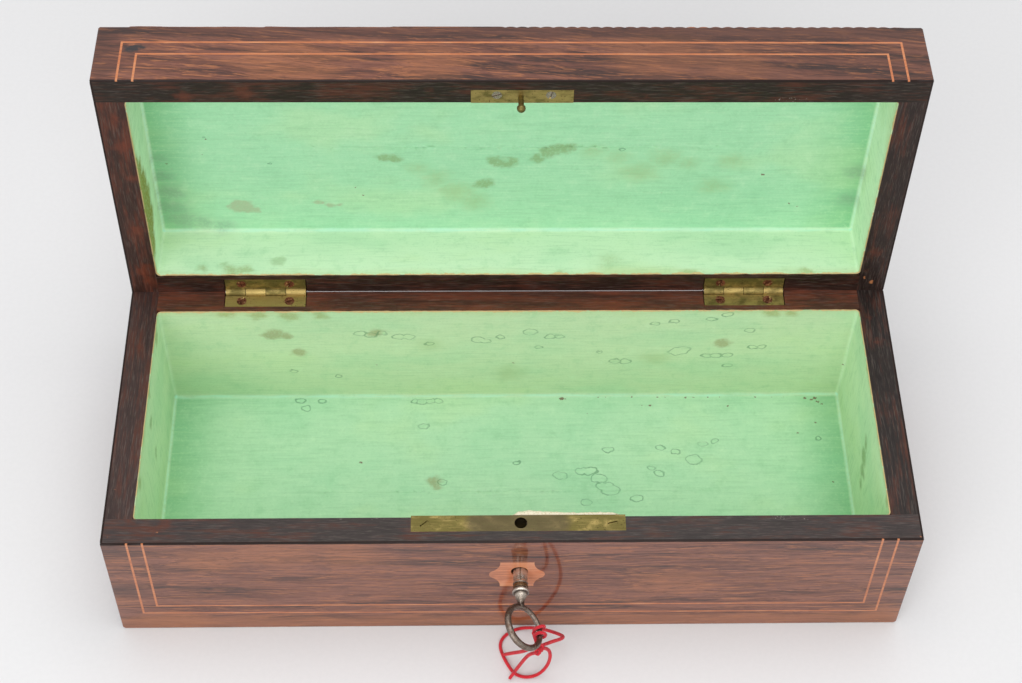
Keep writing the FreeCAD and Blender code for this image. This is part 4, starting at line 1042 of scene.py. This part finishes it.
class GLOVEBOX_OT_key(bpy.types.Operator):
    """Forge and turn the key, with its collars, seam and ring bow"""

    bl_idname = "glovebox.key"
    bl_label = "Key"

    def execute(self, context):
        # The banded colours are partly the steel's tone and partly painted light: the bright ones on the
        # collars are painted highlights, the dark ones in the grooves and where the collar steps down to the
        # neck are painted shade.
        shank = steel_worn("steel_key_shank", 8.0, None, rusty=0.1, tone_and_shade_bands=(
            (0.0, "#a5948a"), (2.2, "#cbbfb4"), (4.4, "#b5aa9d"), (5.0, "#d8cfc3"), (5.9, "#5d432e"),
            (6.6, "#9a7c57"), (7.4, "#7a5f42"), (7.75, "#33221a"), (8.3, "#c4baad"), (9.2, "#d3cabf"),
            (9.6, "#3f3128"), (10.6, "#b5aa9e"), (12.4, "#7c6f64"), (14.2, "#544941")))
        points, faces = turned(SHANK, (LOCK_X, KEY_HEIGHT), 96, self.seam)
        new_piece("key_turned_shank", points, faces, shank, "key", ("key_shank",), 38.0)
        painted(shank, "key_bit")
        ring = steel_worn("steel_key_bow", 9.0, "#786c63", rusty=0.5)
        turns, sides = 120, 20
        points = []
        for i in range(turns):
            turn = 360.0 * i / turns
            rough = 0.03 * noise.noise(Vector((i * 0.3, 2.0, 0.0)))
            thick = BOW_WIRE + 0.16 * math.cos(math.radians(turn - 150)) + rough
            for k in range(sides):
                b = 2 * math.pi * k / sides
                points.append(Bow.point(turn, 0.0, thick * math.cos(b), thick * 0.96 * math.sin(b)) * MM)
        faces = grid_faces(turns, sides, True)
        start = (turns - 1) * sides
        faces += [(start + k, start + (k + 1) % sides, (k + 1) % sides, k) for k in range(sides)]
        new_piece("key_ring_bow", points, faces, ring, "key", ("key_bow",), 60.0)
        return {"FINISHED"}

    def seam(self, out, angle):
        """How much radius the lapped seam along the shank's top takes, with a soft groove on either side."""
        if out > 5.0 or out < -10.4:
            return 0.0
        return 0.5 * math.exp(-(angle / 0.09) ** 2) + 0.16 * math.exp(-((abs(angle) - 0.85) / 0.18) ** 2)


# The string's routes and its knot: (x, distance in front of the box, height)
STRING_LOOP = (
    (10.0, 25.9, 32.1), (14.4, 21.7, 27.5), (17.7, 17.6, 21.5), (19.3, 13.4, 15.5), (17.9, 9.9, 11.0),
    (14.8, 6.7, 7.6), (11.2, 3.8, 4.4), (6.4, 2.0, 2.2), (1.4, 2.1, 1.0), (-3.1, 4.9, 0.75),
    (-4.9, 8.8, 0.75), (-3.6, 13.5, 0.75), (-1.6, 17.6, 0.75), (0.9, 21.4, 0.75), (5.1, 22.8, 0.75),
    (9.6, 22.1, 1.6), (12.8, 21.1, 6.0), (14.2, 20.5, 13.0), (13.1, 22.0, 22.8), (10.2, 26.2, 30.9),
)
STRING_LEFT_END = (
    (7.4, 26.3, 31.4), (5.7, 23.5, 25.0), (3.3, 20.3, 17.0), (0.1, 16.3, 8.5), (-3.0, 13.9, 2.7))
STRING_FRONT_END = (
    (8.0, 28.0, 30.6), (6.0, 25.3, 25.0), (4.0, 23.5, 17.0), (2.0, 22.4, 9.0), (0.9, 21.3, 3.6),
    (-1.2, 23.3, 1.2))
KNOT = (8.8, 27.3, 32.2)


def smooth_line(name, route):
    """Points of the smooth line that a route's points control: x, distance in front of the box, height."""
    curve = bpy.data.curves.new(name, "CURVE")
    curve.dimensions = "3D"
    curve.resolution_u = 24
    line = curve.splines.new("NURBS")
    line.points.add(len(route) - 1)
    for point, (x, out, z) in zip(line.points, route):
        point.co = (*mm(x, FRONT - out, z), 1.0)
    line.order_u = 3
    line.use_endpoint_u = True
    holder = bpy.data.objects.new(name, curve)
    mesh = bpy.data.meshes.new_from_object(holder)
    points = [v.co.copy() for v in mesh.vertices]
    bpy.data.objects.remove(holder)
    bpy.data.curves.remove(curve)
    bpy.data.meshes.remove(mesh)
    return points


def evenly(points, step):
    """Points a step apart along a line of points, with both its ends."""
    total = sum((b - a).length for a, b in zip(points, points[1:]))
    count = max(2, int(round(total / step)))
    out = [points[0].copy()]
    want = total / count
    done = 0.0
    for a, b in zip(points, points[1:]):
        run = (b - a).length
        while run > 0 and done + run >= want * len(out) - 1e-12 and len(out) < count:
            out.append(a.lerp(b, (want * len(out) - done) / run))
        done += run
    out.append(points[-1].copy())
    return out


def frames_along(points):
    """A direction and two steady sideways axes at each point of a line."""
    side = (points[1] - points[0]).orthogonal().normalized()
    out = []
    for i in range(len(points)):
        way = (points[min(i + 1, len(points) - 1)] - points[max(i - 1, 0)]).normalized()
        side = (side - way * side.dot(way)).normalized()
        out.append((way, side, way.cross(side)))
    return out


def strands(path, diameter, lay, sides=8, plies=3, share=0.235):
    """Points and faces of strands twisted round a path; a strand's radius is a share of the diameter."""
    thick = diameter * share
    off = diameter / 2 - thick
    axes = frames_along(path)
    points = []
    faces = []
    travelled = [0.0]
    for a, b in zip(path, path[1:]):
        travelled.append(travelled[-1] + (b - a).length)
    for ply in range(plies):
        start = len(points)
        for here, (way, side, up), gone in zip(path, axes, travelled):
            a = 2 * math.pi * (gone / lay + ply / plies)
            out = side * math.cos(a) + up * math.sin(a)
            tilt = (side * -math.sin(a) + up * math.cos(a)) * (2 * math.pi * off / lay) + way
            rise = tilt.normalized().cross(out).normalized()
            for k in range(sides):
                b = 2 * math.pi * k / sides
                points.append(here + out * off + (out * math.cos(b) + rise * math.sin(b)) * thick)
        rows = len(path)
        faces += [tuple(start + i for i in face)
                  for face in grid_faces(rows, sides, True) + end_faces(rows, sides)]
    return points, faces


class GLOVEBOX_OT_string(bpy.types.Operator):
    """Tie the red string to the key's bow"""

    bl_idname = "glovebox.string"
    bl_label = "Red String"

    def execute(self, context):
        string = context.scene.glove_box_string
        red = cotton_dyed("cotton_red")
        knot = self.knot(red, string)
        for name, route, node in (("string_loop_cord", STRING_LOOP, "string_loop"),
                                  ("string_left_cord", STRING_LEFT_END, "string_left_end"),
                                  ("string_front_cord", STRING_FRONT_END, "string_front_end")):
            path = evenly(smooth_line(name + "_line", route), 0.00016)
            points, faces = strands(path, string.diameter, string.lay)
            thing = new_piece(name, points, faces, red, "key", (node,), 70.0)
        return {"FINISHED"}

    def knot(self, red, string):
        """Two turns round the bow with a bridge between them, and the small tight knot that ties them."""
        wrap = BOW_WIRE + 0.14 + string.diameter / MM / 2
        points = []
        for turn, start, sweep in ((11.0, -100.0, 360.0), (-9.0, 250.0, 365.0)):
            for i in range(41):
                a = math.radians(start + sweep * i / 40)
                slant = (i / 40 - 0.5) * 0.8
                points.append(Bow.point(turn, slant, wrap * math.cos(a), wrap * math.sin(a)))
        ball = Vector((KNOT[0], FRONT - KNOT[1], KNOT[2]))
        tail = points[-1]
        middle = Bow.point(1.0, 0.0, -wrap * 0.7, -wrap * 0.95)
        path = [ball, ball.lerp(points[0], 0.6), *points, tail.lerp(middle, 0.6), middle,
                middle.lerp(ball, 0.6), ball]
        shape, faces = strands(evenly([p * MM for p in path], 0.0002), string.diameter, string.lay)
        size = 0.58
        loop = []
        for i in range(121):
            t = 2 * math.pi * i / 120
            loop.append(ball + size * Vector((
                math.sin(t) + 2 * math.sin(2 * t), 1.1 * (math.cos(t) - 2 * math.cos(2 * t)),
                -1.5 * math.sin(3 * t))))
        more, more_faces = strands(evenly([p * MM for p in loop], 0.0002), string.diameter, string.lay)
        faces += [tuple(i + len(shape) for i in face) for face in more_faces]
        return new_piece("string_tied_knot", shape + more, faces, red, "key",
                         ("string_knot",), 70.0)


class GLOVEBOX_OT_stage(bpy.types.Operator):
    """Set the floor, the lamps and the camera"""

    bl_idname = "glovebox.stage"
    bl_label = "Stage"

    def execute(self, context):
        scene = context.scene
        scene.view_settings.view_transform = "Standard"
        self.floor(scene)
        self.world(scene)
        self.lamps(scene)
        self.camera(scene)
        return {"FINISHED"}

    def seen_directly(self, tree):
        """1 for rays from the camera and for those that metal and film mirror, otherwise 0."""
        rays = add(tree, "LightPath").outputs
        mirrored = add(tree, "Math", {0: rays["Is Glossy Ray"], 1: rays["Is Transmission Ray"]},
                       operation="MAXIMUM")
        return add(tree, "Math", {0: rays["Is Camera Ray"], 1: mirrored}, operation="MAXIMUM")

    def floor(self, scene):
        """Matt seamless paper: pale grey with a faint tooth 2 mm across."""
        material, tree = new_material("paper_backdrop")
        tooth = marks(tree, place_mm(tree), (2, 2, 2), 1.0)
        plain = washed(tree, "#d2d2d4", ((tooth, 0.4, 0.6, 0.3, "#d8d8da"),))
        bright = washed(tree, "#e4e4e5", ((tooth, 0.4, 0.6, 0.3, "#e8e8e9"),))
        colour = add(tree, "Mix", {0: self.seen_directly(tree), 6: plain, 7: bright}, data_type="RGBA")
        shader = add(tree, "BsdfPrincipled", {
            "Base Color": colour, "Roughness": 0.9, "Specular IOR Level": 0.1})
        add(tree, "OutputMaterial", {"Surface": shader})
        mesh = bpy.data.meshes.new("floor")
        mesh.from_pydata([(-6, -6, 0), (6, -6, 0), (6, 6, 0), (-6, 6, 0)], [], [(0, 1, 2, 3)])
        mesh.materials.append(material)
        floor = bpy.data.objects.new("floor", mesh)
        scene.collection.objects.link(floor)

    def world(self, scene):
        """An even white sky, brighter where it is seen than where it lights."""
        world = bpy.data.worlds.new("soft_studio")
        scene.world = world
        world.use_nodes = True
        tree = world.node_tree
        tree.nodes.clear()
        level = add(tree, "MapRange", {0: self.seen_directly(tree), 3: 0.55, 4: 0.92})
        sky = add(tree, "Background", {"Color": (1, 1, 1, 1), "Strength": level})
        add(tree, "OutputWorld", {"Surface": sky})

    def lamps(self, scene):
        """Two soft lamps, in front and above, turned to the box."""
        for name, place, size, power in (("lamp_front", (-0.3, -1.25, 1.0), (1.6, 1.2), 15.0),
                                         ("lamp_over", (0.1, 0.1, 1.5), (1.2, 1.2), 9.0)):
            lamp = bpy.data.lights.new(name, "AREA")
            lamp.shape = "RECTANGLE"
            lamp.size, lamp.size_y = size
            lamp.energy = power
            thing = bpy.data.objects.new(name, lamp)
            thing.location = place
            to_box = Vector((0, 0, 0.06)) - Vector(place)
            thing.rotation_euler = to_box.to_track_quat("-Z", "Y").to_euler()
            scene.collection.objects.link(thing)

    def camera(self, scene):
        """A camera fitted to the box's corners in the photograph."""
        width, height = 1022, 683
        focal, axis_x, axis_y = 1999.31, 524.55, 295.35
        camera = bpy.data.cameras.new("camera")
        camera.sensor_width = 36.0
        camera.sensor_fit = "HORIZONTAL"
        camera.lens = camera.sensor_width * focal / width
        camera.shift_x = (width / 2 - axis_x) / width
        camera.shift_y = (axis_y - height / 2) / width
        camera.clip_start = 0.01
        thing = bpy.data.objects.new("camera", camera)
        right, ahead, up = Vector((1, 0, 0)), Vector((0, 1, 0)), Vector((0, 0, 1))
        yaw = Matrix.Rotation(math.radians(-2.70), 3, "Z")
        right, ahead = yaw @ right, yaw @ ahead
        pitch = Matrix.Rotation(math.radians(-52.02), 3, right)
        ahead, up = pitch @ ahead, pitch @ up
        roll = Matrix.Rotation(math.radians(-1.97), 3, ahead)
        right, up = roll @ right, roll @ up
        place = Matrix((right, up, -ahead)).transposed().to_4x4()
        place.translation = (-0.01715, -0.434795, 0.69066)
        thing.matrix_world = place
        scene.collection.objects.link(thing)
        scene.camera = thing


class GLOVEBOX_PT_panel(bpy.types.Panel):
    """Lists the glove box's pieces and settings"""

    bl_label = "Glove Box"
    bl_idname = "GLOVEBOX_PT_panel"
    bl_space_type = "VIEW_3D"
    bl_region_type = "UI"
    bl_category = "Glove Box"

    def draw(self, context):
        for group, place in GROUPS.items():
            settings = getattr(context.scene, place)
            box = self.layout.box()
            box.label(text=group.__doc__)
            for name in group.__annotations__:
                box.prop(settings, name)
        for operator in OPERATORS:
            self.layout.operator(operator.bl_idname)


GROUPS = {
    GloveBoxWood: "glove_box_wood",
    GloveBoxLining: "glove_box_lining",
    GloveBoxMetal: "glove_box_metal",
    GloveBoxString: "glove_box_string",
}
OPERATORS = (
    GLOVEBOX_OT_stage,
    GLOVEBOX_OT_string,
    GLOVEBOX_OT_key,
    GLOVEBOX_OT_veneers,
    GLOVEBOX_OT_carcass,
    GLOVEBOX_OT_inlay,
    GLOVEBOX_OT_lining,
    GLOVEBOX_OT_hinges,
    GLOVEBOX_OT_lock,
)


def register():
    for group, name in GROUPS.items():
        bpy.utils.register_class(group)
        setattr(bpy.types.Scene, name, bpy.props.PointerProperty(type=group))
    for operator in OPERATORS:
        bpy.utils.register_class(operator)
    bpy.utils.register_class(GLOVEBOX_PT_panel)


def unregister():
    bpy.utils.unregister_class(GLOVEBOX_PT_panel)
    for operator in reversed(OPERATORS):
        bpy.utils.unregister_class(operator)
    for group, name in GROUPS.items():
        delattr(bpy.types.Scene, name)
        bpy.utils.unregister_class(group)


def main():
    register()
    for operator in OPERATORS:
        family, name = operator.bl_idname.split(".")
        getattr(getattr(bpy.ops, family), name)()


if __name__ == "__main__":
    main()
